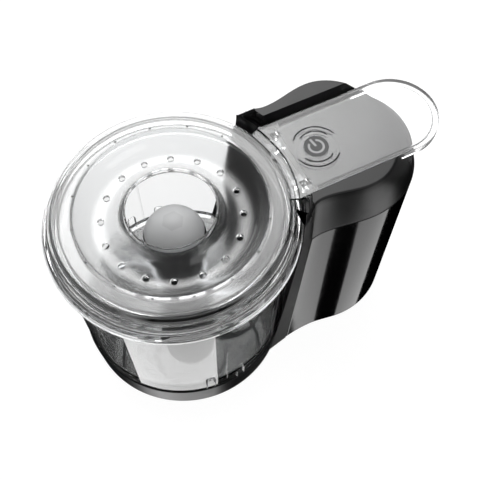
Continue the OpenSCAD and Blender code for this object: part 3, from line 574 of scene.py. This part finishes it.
# A duller black for the cradle and the platform, then the inks of the paddle's mark.
BASE_BLACK = moulded("base_black", (0.007, 0.007, 0.0075), 0.3, 0.05, 340, 0.002, 0.03,
                     Specular_IOR_Level=0.18)
MARK_DARK = moulded("mark_dark", (0.035, 0.035, 0.036), 0.5, 0.06, 1500, 0.004, Specular_IOR_Level=0.15)
MARK_MID = moulded("mark_mid", (0.12, 0.12, 0.122), 0.5, 0.06, 1500, 0.004, Specular_IOR_Level=0.15)
MARK_LIGHT = moulded("mark_light", (0.4, 0.4, 0.405), 0.4, 0.06, 1500, 0.004)

for node in nodes.values():
    for holder in node.material_slots:
        holder.material = FINISHES[holder.material.name.split(".")[0]]


def dress(piece, body, slot, *replaced, finish=None):
    """Gives a piece its finish, its body and the nodes that it stands for."""
    piece.data.materials.clear()
    piece.data.materials.append(finish or FINISHES[slot])
    piece.visible_shadow = slot != "clear_plastic"
    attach(piece, body)
    if replaced:
        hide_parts(*replaced)
    return piece


# Column outline

def level(z):
    """The column's outline numbers at a height."""
    for low, high in zip(LEVELS, LEVELS[1:]):
        if z <= high.z:
            break
    t = (z - low.z) / (high.z - low.z)
    return Level(*(a + (b - a) * t for a, b in zip(low, high)))


def front_y(row):
    """How far back the concave front meets the front corner."""
    return math.sqrt(row.front ** 2 - row.corner ** 2)


def flank(z, s, inset=0.0):
    """Point of the right flank: s is 0 at the parting line, 1 at the waist, 2 at the belly, 3 at the rear."""
    row = level(z)
    start = front_y(row)
    waist_y = start + row.waist_deep
    belly_y = waist_y + row.belly_deep

    def outline(u):
        if u < 1:
            y = start + PART_LINE + (row.waist_deep - PART_LINE) * u
            left = 1 - (y - start) / row.waist_deep
            return row.waist + (row.corner - row.waist) * left ** 2, y
        if u < 2:
            swell = (1 - math.cos(math.pi * (u - 1))) / 2
            return row.waist + (row.belly - row.waist) * swell, waist_y + row.belly_deep * (u - 1)
        turn = math.pi / 2 * (u - 2)
        return row.belly * math.cos(turn), belly_y + row.rear_deep * math.sin(turn)

    x, y = outline(s)
    if inset:
        step = 0.004
        ax, ay = outline(max(s - step, 0.0))
        bx, by = outline(min(s + step, 3.0))
        long = math.hypot(bx - ax, by - ay)
        x -= inset * (by - ay) / long
        y += inset * (bx - ax) / long
    return x, y


# Stations along the flank; the first ones ease the edge at the parting line by these insets.
EDGE_EASE = {0.0: 0.35, 0.015: 0.12, 0.035: 0.0}
STATIONS = list(EDGE_EASE) + [i / 10 for i in range(1, 10)]
STATIONS += [1 + i / 14 for i in range(14)]
STATIONS += [2 + i / 24 for i in range(25)]


def column_loop(z, inset=0.0):
    """The column's closed outline at a height, behind the parting line."""
    right = [flank(z, s, inset) for s in STATIONS]
    left = [(-x, y) for x, y in reversed(right[:-1])]
    return [(x, y, z) for x, y in right + left]


def column_wall(name, section):
    """A wall swept round the column between its parting lines: section holds height and inset."""
    stations = [(s, 1) for s in STATIONS] + [(s, -1) for s in reversed(STATIONS[:-1])]
    rings = []
    for s, side in stations:
        ease = EDGE_EASE.get(s, 0.0)
        ring = []
        for z, inset in section:
            x, y = flank(z, s, max(inset, ease))
            ring.append((side * x, y, z))
        rings.append(ring)
    return skin(name, rings)


# Motor housing, upper cover, cradle and panel

housing_section = rounded([
    (FOOT_Z, WALL, 0), (FOOT_Z, 0, 1.2), (HOUSING_TOP, 0, 0.45), (HOUSING_TOP, WALL, 0)], 0.4, steps=5)
motor_housing = column_wall("motor_housing_shell", housing_section)
dress(motor_housing, "base", "black_gloss", "motor_housing")


def front_bore(radius):
    """Cutter that leaves room for the bowl and its lid."""
    return drill(radius, 90, ABOVE)


def cover_shell():
    """Upper cover: waisted band under two shoulders, with the paddle's channel between them."""
    rows = [(COVER_FOOT, 0.45), (97.25, 0.12), (97.6, 0), (98.2, 0), (106, 0), (115, 0), (120, 0)]
    edge = 0.9
    turns = [math.pi / 10 * i for i in range(6)]
    rows += [(SHOULDER_Z - edge + edge * math.sin(a), edge - edge * math.cos(a)) for a in turns]
    rows += [(SHOULDER_Z, edge + 0.5)]
    outer = skin("upper_cover_shell", [column_loop(z, inset) for z, inset in rows], sharp=40)
    hollow = skin("hollow", [column_loop(z, WALL) for z in (96.0, 108.3)])
    carved(hollow, cut=[front_bore(COVER_BORE_R + WALL)])
    channel = block("channel", (-CHANNEL_HALF, 20, CHANNEL_Z), (CHANNEL_HALF, 160, ABOVE))
    hole = drill(7.2, 100, 130, 48, BUTTON_Y)
    return carved(outer, cut=[front_bore(COVER_BORE_R), channel, hole, hollow], bevel=0.4, sharp=40, limit=50)


dress(cover_shell(), "base", "black_satin", "upper_cover")


def bowl_r(z):
    """Outer radius of the bowl's drafted wall at a height."""
    return BOWL_FOOT_R + BOWL_SLOPE * (z - BOWL_FOOT_Z)


def hugging(z):
    """Radius of the cradle's front at a height: close to the platform and the bowl, then clear of the lid."""
    if z <= BOWL_FOOT_Z:
        t = (z - FOOT_Z) / (BOWL_FOOT_Z - FOOT_Z)
        return PLATFORM_LOW_R + (PLATFORM_HIGH_R - PLATFORM_LOW_R) * t + 0.1
    if z < CRADLE_STEP:
        return bowl_r(z) + 1.0
    return level(z).front


def cradle_side(z):
    """The right side face at a height: the parting line's point, then the front corner."""
    row = level(z)
    corner = Vector((row.corner, front_y(row)))
    seam = Vector(flank(z, 0.0)) - Vector((0, 0.12))
    top = LEVELS[1].z
    reach = 4.6 - 4.1 * min(z, top) / top
    return seam, corner + (corner - seam).normalized() * reach


def cradle_ring(z):
    """Closed plan of the cradle: right side, concave front, left side, then back inside the wall."""
    seam, corner = cradle_side(z)
    near = hugging(z)
    far = level(z).front + CRADLE_WALL
    start = math.degrees(math.atan2(corner.y, corner.x)) + 0.4
    front = arc(0, 0, near, start, 180 - start, 48)
    inner_x = seam.x - CRADLE_WALL
    back_start = math.degrees(math.acos(inner_x / far))
    back = arc(0, 0, far, 180 - back_start, back_start, 48)
    right = [(seam.x, seam.y, 0), (corner.x, corner.y, 0.5)]
    left = [(-x, y, r) for x, y, r in reversed(right)]
    inner = [(-inner_x, seam.y)] + back + [(inner_x, seam.y)]
    outline = right + [p + (0,) for p in front] + left + [p + (0,) for p in inner]
    return [(x, y, z) for x, y in rounded(outline, 0)]


def cheek(side):
    """Ramp at the column's side: its top falls from the shoulder to the cradle's front, where it ends."""
    seam, corner = cradle_side(120)
    steps = 8
    low = 115
    thick = 2.1
    ease = 0.5
    rings = []
    for i in range(steps + 1):
        t = i / steps
        point = seam.lerp(corner, t * 0.98)
        top = SHOULDER_Z - 0.2 - (SHOULDER_Z - CRADLE_TOP) * t
        section = [(0, low), (0, top - ease), (ease, top),
                   (thick - ease, top), (thick, top - ease), (thick, low)]
        rings.append([(side * (point.x - inset), point.y, z) for inset, z in section])
    return carved(skin("cheek", rings), cut=[front_bore(level(CRADLE_TOP).front + 0.15)])


def ledge(side):
    """Narrow step between the cradle's top and the front of a shoulder."""
    turns = [math.radians(58.5 + 9.0 * i / 8) for i in range(9)]
    near = 63.7
    far = COVER_BORE_R - 0.08
    section = [(near, 116), (near, 120.2), (near + 0.3, 120.5), (far, 120.5), (far, 116)]
    rings = [[(side * r * math.cos(a), r * math.sin(a), z) for r, z in section] for a in turns]
    return skin("ledge", rings)


def cradle_shell():
    """Cradle: concave wall behind the bowl with flared side faces, a window below and the channel above."""
    heights = (FOOT_Z, 11, BOWL_FOOT_Z - 0.1, BOWL_FOOT_Z + 0.1, 40, 60, 80, 97,
               CRADLE_STEP - 0.1, CRADLE_STEP + 0.1, 115, CRADLE_TOP)
    wall = skin("cradle_shell", [cradle_ring(z) for z in heights])
    window = block("window", (-26.3, 0, 0), (26.3, 110, 20.8))
    channel = block("channel", (-CHANNEL_HALF, 0, CHANNEL_Z), (CHANNEL_HALF, 110, ABOVE))
    raised = [shape(side) for shape in (cheek, ledge) for side in (1, -1)]
    return carved(wall, cut=[window, channel], joined=raised, bevel=0.3, limit=45)


dress(cradle_shell(), "base", "black_gloss", "cradle", finish=BASE_BLACK)


def panel_plate():
    """Panel on the channel's floor: straight front, rounded rear, and a hole for the button's stem."""

    def outline(inset):
        half = CHANNEL_HALF - 0.3 - inset
        front = PANEL_FRONT_Y + inset
        radius = PANEL_REAR_R - inset
        rear = math.degrees(math.acos(half / radius))
        return [(-half, front), (half, front)] + arc(0, MARK_Y, radius, rear, 180 - rear, 40)

    rows = [(CHANNEL_Z, 0.2), (110.9, 0.0), (112.0, 0.0), (112.3, 0.1), (112.46, 0.3), (112.5, 0.6)]
    plate = skin("top_panel_plate", [[(x, y, z) for x, y in outline(inset)] for z, inset in rows])
    return carved(plate, cut=[drill(6.9, 100, 130, 64, BUTTON_Y)])


dress(panel_plate(), "base", "dark_panel", "top_panel")

button_profile = rounded([
    (0, 116.8, 0), (9.6, 116.75, 0.5), (10.5, 115.9, 0.4), (10.5, 113.5, 0.2), (6.5, 113.5, 0.2),
    (6.5, 106.3, 0.2), (5.0, 106.3, 0.2), (5.0, 112.5, 0.4), (2.0, 112.5, 0)], 0.2, False)
button = lathe("pulse_button_cap", button_profile + [(0, 112.5)], 96, False, BUTTON_Y)
dress(button, "button", "black_gloss", "pulse_button", finish=FINISHES["dark_panel"])


def return_spring():
    """Coil spring under the button's collar, sized to the button spring's box."""
    low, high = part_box("button_spring")
    wire = 0.5
    turns = 4
    steps = 24 * turns
    radius = (high.x - low.x) / 2 / MM - wire
    rise = (high.z - low.z) / MM - 2 * wire
    rings = []
    for i in range(steps + 1):
        a = 2 * math.pi * turns * i / steps
        z = low.z / MM + wire + rise * i / steps
        rings.append([((radius + b) * math.cos(a), BUTTON_Y + (radius + b) * math.sin(a), z + c)
                      for b, c in arc(0, 0, wire, 0, 360, 10)[:-1]])
    spring = dress(skin("button_return_spring", rings), "base", "spring_steel", "button_spring")
    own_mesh(spring)


return_spring()


# Base platform

platform_profile = rounded([
    (50.6, FOOT_Z, 0), (PLATFORM_LOW_R, FOOT_Z, 0.6), (PLATFORM_HIGH_R, 19.9, 0.0), (54.9, BOWL_FOOT_Z, 0.4),
    (52.1, BOWL_FOOT_Z, 0.3), (52.1, 22.9, 0.5), (50.1, 22.9, 0.5), (50.1, BOWL_FOOT_Z, 0.3),
    (10, BOWL_FOOT_Z, 0.6), (10, 25, 0.6), (7.2, 25, 0.4), (7.2, 14, 0), (10, 14, 0),
    (10, PLATFORM_UNDER, 0), (50.6, PLATFORM_UNDER, 0)], 0.4)
platform = carved(lathe("platform_rim", platform_profile, 192),
                  cut=[block("window", (-26, 0, 1), (26, 80, PLATFORM_UNDER - 0.01))])
tongue_plan = [(-19, 53.5), (19, 53.5), (19, 80)] + arc(0, 87.7, 19, -20, 200, 30) + [(-19, 80)]
tongue_rings = [[(x, y, z) for x, y in tongue_plan] for z in (PLATFORM_UNDER, BOWL_FOOT_Z - 0.05)]
tongue = skin("tongue", tongue_rings)
dress(merged("base_platform_shell", [platform, tongue]), "base", "black_gloss", "base_platform",
      finish=BASE_BLACK)


# Bowl

def bowl_shell():
    """Clear bowl: drafted wall on a foot ring, flat floor, centre tube, lock lugs by the foot, and ribs."""
    foot_in = BOWL_FOOT_R - BOWL_WALL
    rim_r = bowl_r(BOWL_RIM_Z)
    floor_under = 26
    tube_in = 5.0
    tube_out = 7.0
    tube_top = 84
    profile = rounded([
        (foot_in, BOWL_FOOT_Z, 0.4), (BOWL_FOOT_R, BOWL_FOOT_Z, 0.6), (rim_r, BOWL_RIM_Z, 1.0),
        (rim_r - BOWL_WALL, BOWL_RIM_Z, 0.8), (bowl_r(BOWL_FLOOR_Z) - BOWL_WALL, BOWL_FLOOR_Z, 1.2),
        (tube_out, BOWL_FLOOR_Z, 1.5), (tube_out, tube_top, 0.6), (tube_in, tube_top, 0.4),
        (tube_in, floor_under, 0.4), (foot_in, floor_under, 0.5)], 0.4, steps=6)
    wall = lathe("bowl_shell", profile, 192)
    clear = FINISHES["clear_plastic"]
    rail = 0.75
    path = [(-2.2, 22.0), (-2.2, 33.0), (-1.6, 34.2), (1.6, 34.2), (2.2, 33.0), (2.2, 22.0)]
    lug_rings = []
    for i, (y, z) in enumerate(path):
        ahead = path[min(i + 1, len(path) - 1)]
        behind = path[max(i - 1, 0)]
        run = Vector((ahead[0] - behind[0], ahead[1] - behind[1])).normalized()
        across = Vector((-run.y, run.x)) * rail / 2
        shell = bowl_r(z)
        section = ((-1.0, 1), (0.5, 1), (0.7, 0), (0.5, -1), (-1.0, -1))
        lug_rings.append([(shell + out, y + across.x * half, z + across.y * half) for out, half in section])
    parts = []
    for turn in (-9, 9):
        shape = skin("lug", lug_rings, to=loose)
        parts.append(ring_copies("lugs", shape, 2, 0.0, 0.0, clear, turn))
    rib_section = ((-1.0, -0.45), (0.45, -0.3), (0.45, 0.3), (-1.0, 0.45))
    rib_rings = [[(bowl_r(z) + out, y, z) for out, y in rib_section] for z in (25.5, 66.5)]
    rib = skin("rib", rib_rings, to=loose)
    parts.append(ring_copies("ribs", rib, 2, 0.0, 0.0, clear, 1.0))
    return carved(wall, joined=parts)


dress(bowl_shell(), "bowl", "clear_plastic", "bowl")


# Hub and blades

hub_profile = rounded([
    (0, 84.4, 0), (5.6, 84.4, 0.3), (7.6, 84, 0.2), (7.6, 29.4, 0.4), (13, 29.4, 0.8), (13, 36.4, 0.2),
    (BLADE_ROOT, 36.4, 0.1), (BLADE_ROOT, 37.8, 0.1), (13, 37.8, 0.3), (13, 55.4, 0.2),
    (BLADE_ROOT, 55.4, 0.1), (BLADE_ROOT, 56.8, 0.1), (13, 56.8, 0.3), (13, 75, 1.5), (15.2, 81, 1.5),
    (HUB_DOME_R, 92.0, 0.0)], 0.3, False)
hub_profile += arc(0, HUB_DOME_Z, HUB_DOME_R, 0, 85, 17)
hub_profile += [(0.0, HUB_DOME_Z + HUB_DOME_R)]
hub = lathe("blade_hub_shell", hub_profile, 128, False)
dress(hub, "blade", "hub_grey", "blade_hub")


def sickle_blade(name, z, turn):
    """Sickle blade: collar round the hub's neck and one swept arm with a ground edge."""
    top = z + BLADE_THICK
    start = BLADE_ROOT + 1.0
    inner = BLADE_ROOT + 0.05
    outer = 14.5
    sweep = 55
    spread = 42
    steps = 28
    rings = []
    for i in range(steps + 1):
        t = i / steps
        r = start + (BLADE_REACH - start) * t
        back = sweep * t * t
        edge = back + spread * (1 - t) ** 0.7 * BLADE_ROOT / r
        grind = edge - min(edge - back, math.degrees(3.0 / r)) * 0.8
        spots = [(back, z), (edge, z), (edge, z + 0.12), (grind, top), (back, top)]
        turned = [(math.radians(a + turn), h) for a, h in spots]
        rings.append([(r * math.cos(a), r * math.sin(a), h) for a, h in turned])
    rings[-1] = [Vector(rings[-1][1]).lerp(Vector(p), 0.35)[:] for p in rings[-1]]
    arm = skin(name, rings)
    collar = lathe("collar", rounded([(inner, z), (outer, z), (outer, top), (inner, top)], 0.15), 96)
    return carved(arm, joined=[collar])


dress(sickle_blade("lower_blade_arm", 36.4, 200), "blade", "blade_steel", "lower_blade")
dress(sickle_blade("upper_blade_arm", 55.4, 20), "blade", "blade_steel", "upper_blade")


# Lid

def lid_shell():
    """Clear lid: chimney, drip trough with its holes, flat ring, stepped skirt, hinge ears and a shelf."""
    steps = 40
    trough = [(r, RING_Z + h, 0) for r, h in arc(TROUGH_R, TROUGH_RISE, TROUGH_ARC, 200, 340, steps)]
    under = []
    for i in range(steps + 1):
        turn = 337 - 134 * i / steps
        wall = min(LID_WALL, 0.8 + (turn - 203) * 0.05)
        r, h = arc(TROUGH_R, TROUGH_RISE, TROUGH_ARC + wall, turn, turn, 1)[0]
        under.append((r, RING_Z + h, 0))
    top = [(21.0, RING_Z - 0.6, 0.2), (21.1, RING_Z, 0.25), (21.8, RING_Z, 0.5)]
    skirt = [(45.2, RING_Z, 0.5), (54.7, RING_Z, 0.7), (56.46, 116.53, 0.7), (57.47, 116.53, 0.5),
             (58.6, 112.31, 0.6), (59.86, 111.82, 0.5), (60.62, 108.84, 0.5), (61.5, 107.6, 0.4),
             (61.5, 105.4, 0.5), (59.4, 105.4, 0.5), (57.9, 109.3, 0.4), (55.7, 109.3, 0.3),
             (55.7, 111, 0.3), (54.3, 115.3, 0.4), (54.3, 106, 0.4), (52.5, 106, 0.5), (52.5, 117.8, 0.8),
             (47.2, 117.8, 0.5)]
    shell = lathe("lid_shell", rounded(top + trough + skirt + under, 0.4, steps=5), 192)
    drip_profile = [(0, -6), (1.6, -6), (1.6, -0.75), (1.85, -0.4), (2.0, 6), (0, 6)]
    cutter = lathe("drip", drip_profile, 24, False, to=loose)
    holes = ring_copies("drip_holes", cutter, 16, TROUGH_R, RING_Z - 8.6, FINISHES["clear_plastic"])
    ear_wide = 4
    ears = []
    for x in (9, -13):
        body = block("ear", (x, 54.6, HINGE_Z - HINGE_R), (x + ear_wide, HINGE_Y, HINGE_Z + HINGE_R))
        ears += [body, rod_x("ear_end", x, x + ear_wide, HINGE_Y, HINGE_Z, HINGE_R)]
    turns = [math.radians(68.5 + 43 * i / 32) for i in range(33)]
    edge = rounded([(53.9, 118.5), (59.35, 118.5, 0.2), (59.35, 119.9, 0.4), (53.9, 119.9)], 0.0)
    shelf = skin("shelf", [[(r * math.cos(a), r * math.sin(a), z) for r, z in edge] for a in turns])
    return carved(shell, cut=[holes], joined=ears + [shelf])


dress(lid_shell(), "lid", "clear_plastic", "lid")


def rim_nibs():
    """Small moulded nibs along the chimney's rim and the trough's outer edge."""
    clear = FINISHES["clear_plastic"]

    def nib(long):
        rings = [[(-long, y, 0.02), (-long * 0.6, y, h), (long * 0.6, y, h), (long, y, 0.02)]
                 for y, h in ((-0.5, 0.1), (-0.25, 0.26), (0.25, 0.26), (0.5, 0.1))]
        return skin("nib", rings, to=loose)

    count = 16
    half_step = 180 / count
    inner = ring_copies("inner_nibs", nib(0.35), count, 21.45, RING_Z - 0.02, clear, half_step)
    outer = ring_copies("outer_nibs", nib(0.5), count, 46.2, RING_Z - 0.02, clear, half_step)
    return merged("lid_nibs", [inner, outer])


dress(rim_nibs(), "lid", "clear_plastic")


# Paddle and its mark

def paddle_loop(z, inset):
    """The paddle's closed outline: right side, round rear, left side and hollow front."""
    half = PADDLE_HALF - inset
    front_r = PADDLE_FRONT_R + inset
    start = math.degrees(math.acos(half / front_r))
    front = arc(0, 0, front_r, 180 - start, start, 24)
    side_y = front[-1][1]
    run = [side_y + (PADDLE_REAR_Y - side_y) * i / 6 for i in range(1, 6)]
    right = [(half, y) for y in run]
    left = [(-half, y) for y in reversed(run)]
    return [(x, y, z) for x, y in right + arc(0, PADDLE_REAR_Y, half, 0, 180, 48) + left + front]


def paddle_shell():
    """Clear press paddle: thin plate with a skirt round its edge, hinge knuckles and a pressing boss."""
    outer = rounded([(6.0, PADDLE_UNDER, 0), (PADDLE_SKIRT, PADDLE_UNDER, 0.6),
                     (PADDLE_SKIRT, PADDLE_SKIRT_Z, 0.3), (0.0, PADDLE_SKIRT_Z, 0.4),
                     (0.0, PADDLE_TOP, 0.3), (6.0, PADDLE_TOP, 0)], 0.3, False)
    plate = skin("paddle_shell", [paddle_loop(z, inset) for inset, z in outer])
    gap = block("gap", (-23, 52, 110), (23, 66, PADDLE_UNDER + 0.05))
    carved(plate, cut=[gap])
    knuckle_wide = 3.6
    knuckles = []
    for x in (13.3, -16.9):
        end = x + knuckle_wide
        web = block("web", (x, HINGE_Y - HINGE_R, HINGE_Z), (end, HINGE_Y + HINGE_R, PADDLE_UNDER + 0.5))
        knuckles += [web, rod_x("knuckle", x, end, HINGE_Y, HINGE_Z, HINGE_R)]
    boss_profile = rounded([(0, 117.1, 0), (4, 117.1, 0.4), (4, 119, 0), (0, 119, 0)], 0.3, False)
    boss = lathe("boss", boss_profile, 48, False, BUTTON_Y)
    bore = rod_x("bore", -20, 20, HINGE_Y, HINGE_Z, 1.4, 32)
    return carved(plate, cut=[bore], joined=knuckles + [boss])


dress(paddle_shell(), "paddle", "clear_plastic", "paddle")


def print_sheet(bands, low, up):
    """Thin printed shapes on the paddle's top: bands hold inner and outer radius, start and end angle."""
    high = low + INK
    sheets = []
    for inner, outer, start, end in bands:
        steps = max(6, int((end - start) / 4))
        near = arc(0, MARK_Y, inner, up + start, up + end, steps)
        far = arc(0, MARK_Y, outer, up + start, up + end, steps)
        whole = end - start >= 360
        rings = [[a + (low,), b + (low,), b + (high,), a + (high,)] for a, b in zip(near, far)]
        sheets.append(skin("mark", rings[:-1] if whole else rings, whole))
    return sheets


def power_mark():
    """Generic power symbol: a dark disc with a light broken ring and bar, between pairs of arcs."""
    up = 190.0
    arcs = [(8.5, 9.25, -75, 25), (11.2, 11.95, -85, 35), (8.5, 9.25, 105, 205), (11.2, 11.95, 95, 215)]
    dark = print_sheet(arcs, PADDLE_TOP, up)
    ground = print_sheet([(0.02, 6.1, 0, 360)], PADDLE_TOP, up)
    light = print_sheet([(3.0, 4.1, 32, 328)], PADDLE_TOP + INK, up)
    centre = Vector((0, MARK_Y))
    run = Vector((math.cos(math.radians(up)), math.sin(math.radians(up))))
    side = Vector((-run.y, run.x)) * 0.6
    near = centre + run * 0.2
    far = centre + run * 4.9
    bar = []
    for z in (PADDLE_TOP + INK, PADDLE_TOP + 2 * INK):
        bar.append([(p.x, p.y, z) for p in (near - side, far - side, far + side, near + side)])
    light.append(skin("bar", bar))
    layers = (("power_mark_arcs", dark, MARK_DARK), ("power_mark_ground", ground, MARK_MID),
              ("power_mark_lines", light, MARK_LIGHT))
    for name, sheets, finish in layers:
        print_layer = dress(merged(name, sheets), "paddle", "dark_panel", finish=finish)
        print_layer.visible_transmission = False
        print_layer.visible_shadow = False


power_mark()


# Studio

def direction(azimuth, elevation):
    """Unit vector: azimuth from the x axis towards y, elevation above the table."""
    a = math.radians(azimuth)
    e = math.radians(elevation)
    return Vector((math.cos(a) * math.cos(e), math.sin(a) * math.cos(e), math.sin(e)))


AIM = Vector((0, 0, 0.07))


def rays(tree, kind):
    """One of the light path's answers as a field."""
    return Field(tree).node("ShaderNodeLightPath", output=kind)


def glowing(name, strength):
    """Plain light whose strength follows the mesh's glow."""
    material = bpy.data.materials.new(name)
    material.use_nodes = True
    tree = material.node_tree
    tree.nodes.clear()
    shine = tree.nodes.new("ShaderNodeEmission")
    glow = Field(tree).node("ShaderNodeAttribute", output="Fac", attribute_name="glow")
    tree.links.new((glow * strength).socket, shine.inputs["Strength"])
    out = tree.nodes.new("ShaderNodeOutputMaterial")
    tree.links.new(shine.outputs[0], out.inputs[0])
    return material


def card(name, azimuths, elevations, distance, strength, soft=False):
    """A curved studio card, seen only in reflections; a soft one fades towards its sides."""
    rows = 16
    grid = []
    for i in range(rows + 1):
        e = elevations[0] + (elevations[1] - elevations[0]) * i / rows
        grid.append([AIM + direction(azimuths[0] + (azimuths[1] - azimuths[0]) * j / rows, e) * distance
                     for j in range(rows + 1)])
    mesh = bpy.data.meshes.new(name)
    wide = rows + 1
    faces = [(i * wide + j, i * wide + j + 1, (i + 1) * wide + j + 1, (i + 1) * wide + j)
             for i in range(rows) for j in range(rows)]
    mesh.from_pydata([p for row in grid for p in row], [], faces)
    fades = [math.sin(math.pi * j / rows) ** 2 if soft else 1.0 for j in range(wide)]
    mesh.attributes.new("glow", "FLOAT", "POINT").data.foreach_set("value", fades * wide)
    obj = new_object(name, mesh)
    mesh.materials.append(glowing(name, strength))
    obj.visible_camera = False
    obj.visible_diffuse = False
    obj.visible_transmission = False
    obj.visible_shadow = False


def softbox(name, azimuth, elevation, distance, wide, tall, radiance):
    """A lamp whose light fades towards its edges."""
    lamp = bpy.data.lights.new(name, "AREA")
    lamp.shape = "RECTANGLE"
    lamp.size = wide
    lamp.size_y = tall
    lamp.energy = radiance * math.pi * wide * tall
    lamp.use_nodes = True
    tree = lamp.node_tree
    across = Field(tree).node("ShaderNodeNewGeometry", output="Parametric")
    fades = []
    for axis in "XY":
        fades.append((across.part(axis) - 0.5).size().ramp(0.5, 0.0))
    tree.links.new((fades[0] * fades[1]).socket, tree.nodes["Emission"].inputs["Strength"])
    obj = bpy.data.objects.new(name, lamp)
    bpy.context.scene.collection.objects.link(obj)
    way = direction(azimuth, elevation)
    obj.location = AIM + way * distance
    obj.rotation_euler = way.to_track_quat("Z", "Y").to_euler()


def studio_floor():
    """Floor that looks white to the camera and through clear pieces, and keeps the object's shadow."""
    half = 5
    floor = bpy.data.meshes.new("studio_floor")
    corners = [(-half, -half, 0), (half, -half, 0), (half, half, 0), (-half, half, 0)]
    floor.from_pydata(corners, [], [(0, 1, 2, 3)])
    ground = new_object("studio_floor", floor)
    ground.visible_glossy = False
    material = bpy.data.materials.new("studio_floor")
    material.use_nodes = True
    tree = material.node_tree
    shader = tree.nodes["Principled BSDF"]
    shader.inputs["Base Color"].default_value = (0.12, 0.12, 0.12, 1)
    shader.inputs["Roughness"].default_value = 1.0
    shader.inputs["Specular IOR Level"].default_value = 0.0
    shader.inputs["Emission Color"].default_value = (1, 1, 1, 1)
    place = Field(tree).node("ShaderNodeTexCoord", output="Object")
    away = place.node("ShaderNodeVectorMath", {0: place}, "Value", operation="LENGTH")
    bounces = rays(tree, "Diffuse Depth") + rays(tree, "Glossy Depth")
    through = rays(tree, "Is Transmission Ray") * bounces.ramp(1.0, 0.0) * away.ramp(3.5, 1.5, 0.2, 1.0)
    seen = rays(tree, "Is Camera Ray").at_least(through)
    tree.links.new((seen * 0.96).socket, shader.inputs["Emission Strength"])
    floor.materials.append(material)


def studio_world():
    """Surroundings: white to the camera, and through clear pieces near the horizon; dim otherwise."""
    world = bpy.data.worlds.new("studio")
    bpy.context.scene.world = world
    world.use_nodes = True
    tree = world.node_tree
    back = tree.nodes["Background"]
    back.inputs["Color"].default_value = (1, 1, 1, 1)
    height = Field(tree).node("ShaderNodeTexCoord", output="Generated").part("Z")
    walls = height.ramp(0.16, 0.08)
    sky = rays(tree, "Is Camera Ray") * 0.9 + rays(tree, "Is Glossy Ray") * 0.1
    sky = sky + rays(tree, "Is Transmission Ray") * walls * 0.85 + rays(tree, "Is Diffuse Ray") * 0.25 + 0.1
    tree.links.new(sky.socket, back.inputs["Strength"])


def studio():
    """One soft lamp above, and cards that shape the reflections."""
    softbox("lamp_over", 163, 53, 1.5, 2.2, 1.8, 6.2)
    card("studio_dark", (-180, 180), (-90, -36), 3.0, 0.0)
    strips = (("rear", 85, 120, 1.8), ("left_side", 128, 175, 1.1), ("left", 188, 222, 1.8),
              ("right_side", 5, 52, 1.1), ("right", -70, -40, 1.8))
    for name, start, end, strength in strips:
        card("studio_strip_" + name, (start, end), (-34, 14), 2.5, strength, True)
    card("studio_card_back", (140, 205), (4, 27), 2.0, 2.5)
    card("studio_card_right", (0, 50), (30, 58), 2.0, 1.5)
    card("studio_card_front", (-95, 9), (-80, -62), 2.0, 2.3)
    card("studio_card_side", (21, 62), (-62, -40), 2.0, 1.5)


def photo_camera():
    """Camera at the photograph's angle, above the front right."""
    azimuth = -26.316
    elevation = 61.284
    place = (0.1835, -0.09535, 0.434)
    back = direction(azimuth, elevation)
    right = direction(azimuth + 90, 0)
    up = back.cross(right)
    lens = bpy.data.cameras.new("photo_camera")
    lens.lens = 59.97
    lens.sensor_width = 36.0
    obj = bpy.data.objects.new("photo_camera", lens)
    bpy.context.scene.collection.objects.link(obj)
    turn = Matrix((right, up, back)).transposed().to_4x4()
    obj.matrix_world = Matrix.Translation(place) @ turn
    bpy.context.scene.camera = obj


studio_floor()
studio_world()
studio()
photo_camera()
bpy.context.scene.view_settings.view_transform = "Standard"
bpy.context.view_layer.update()
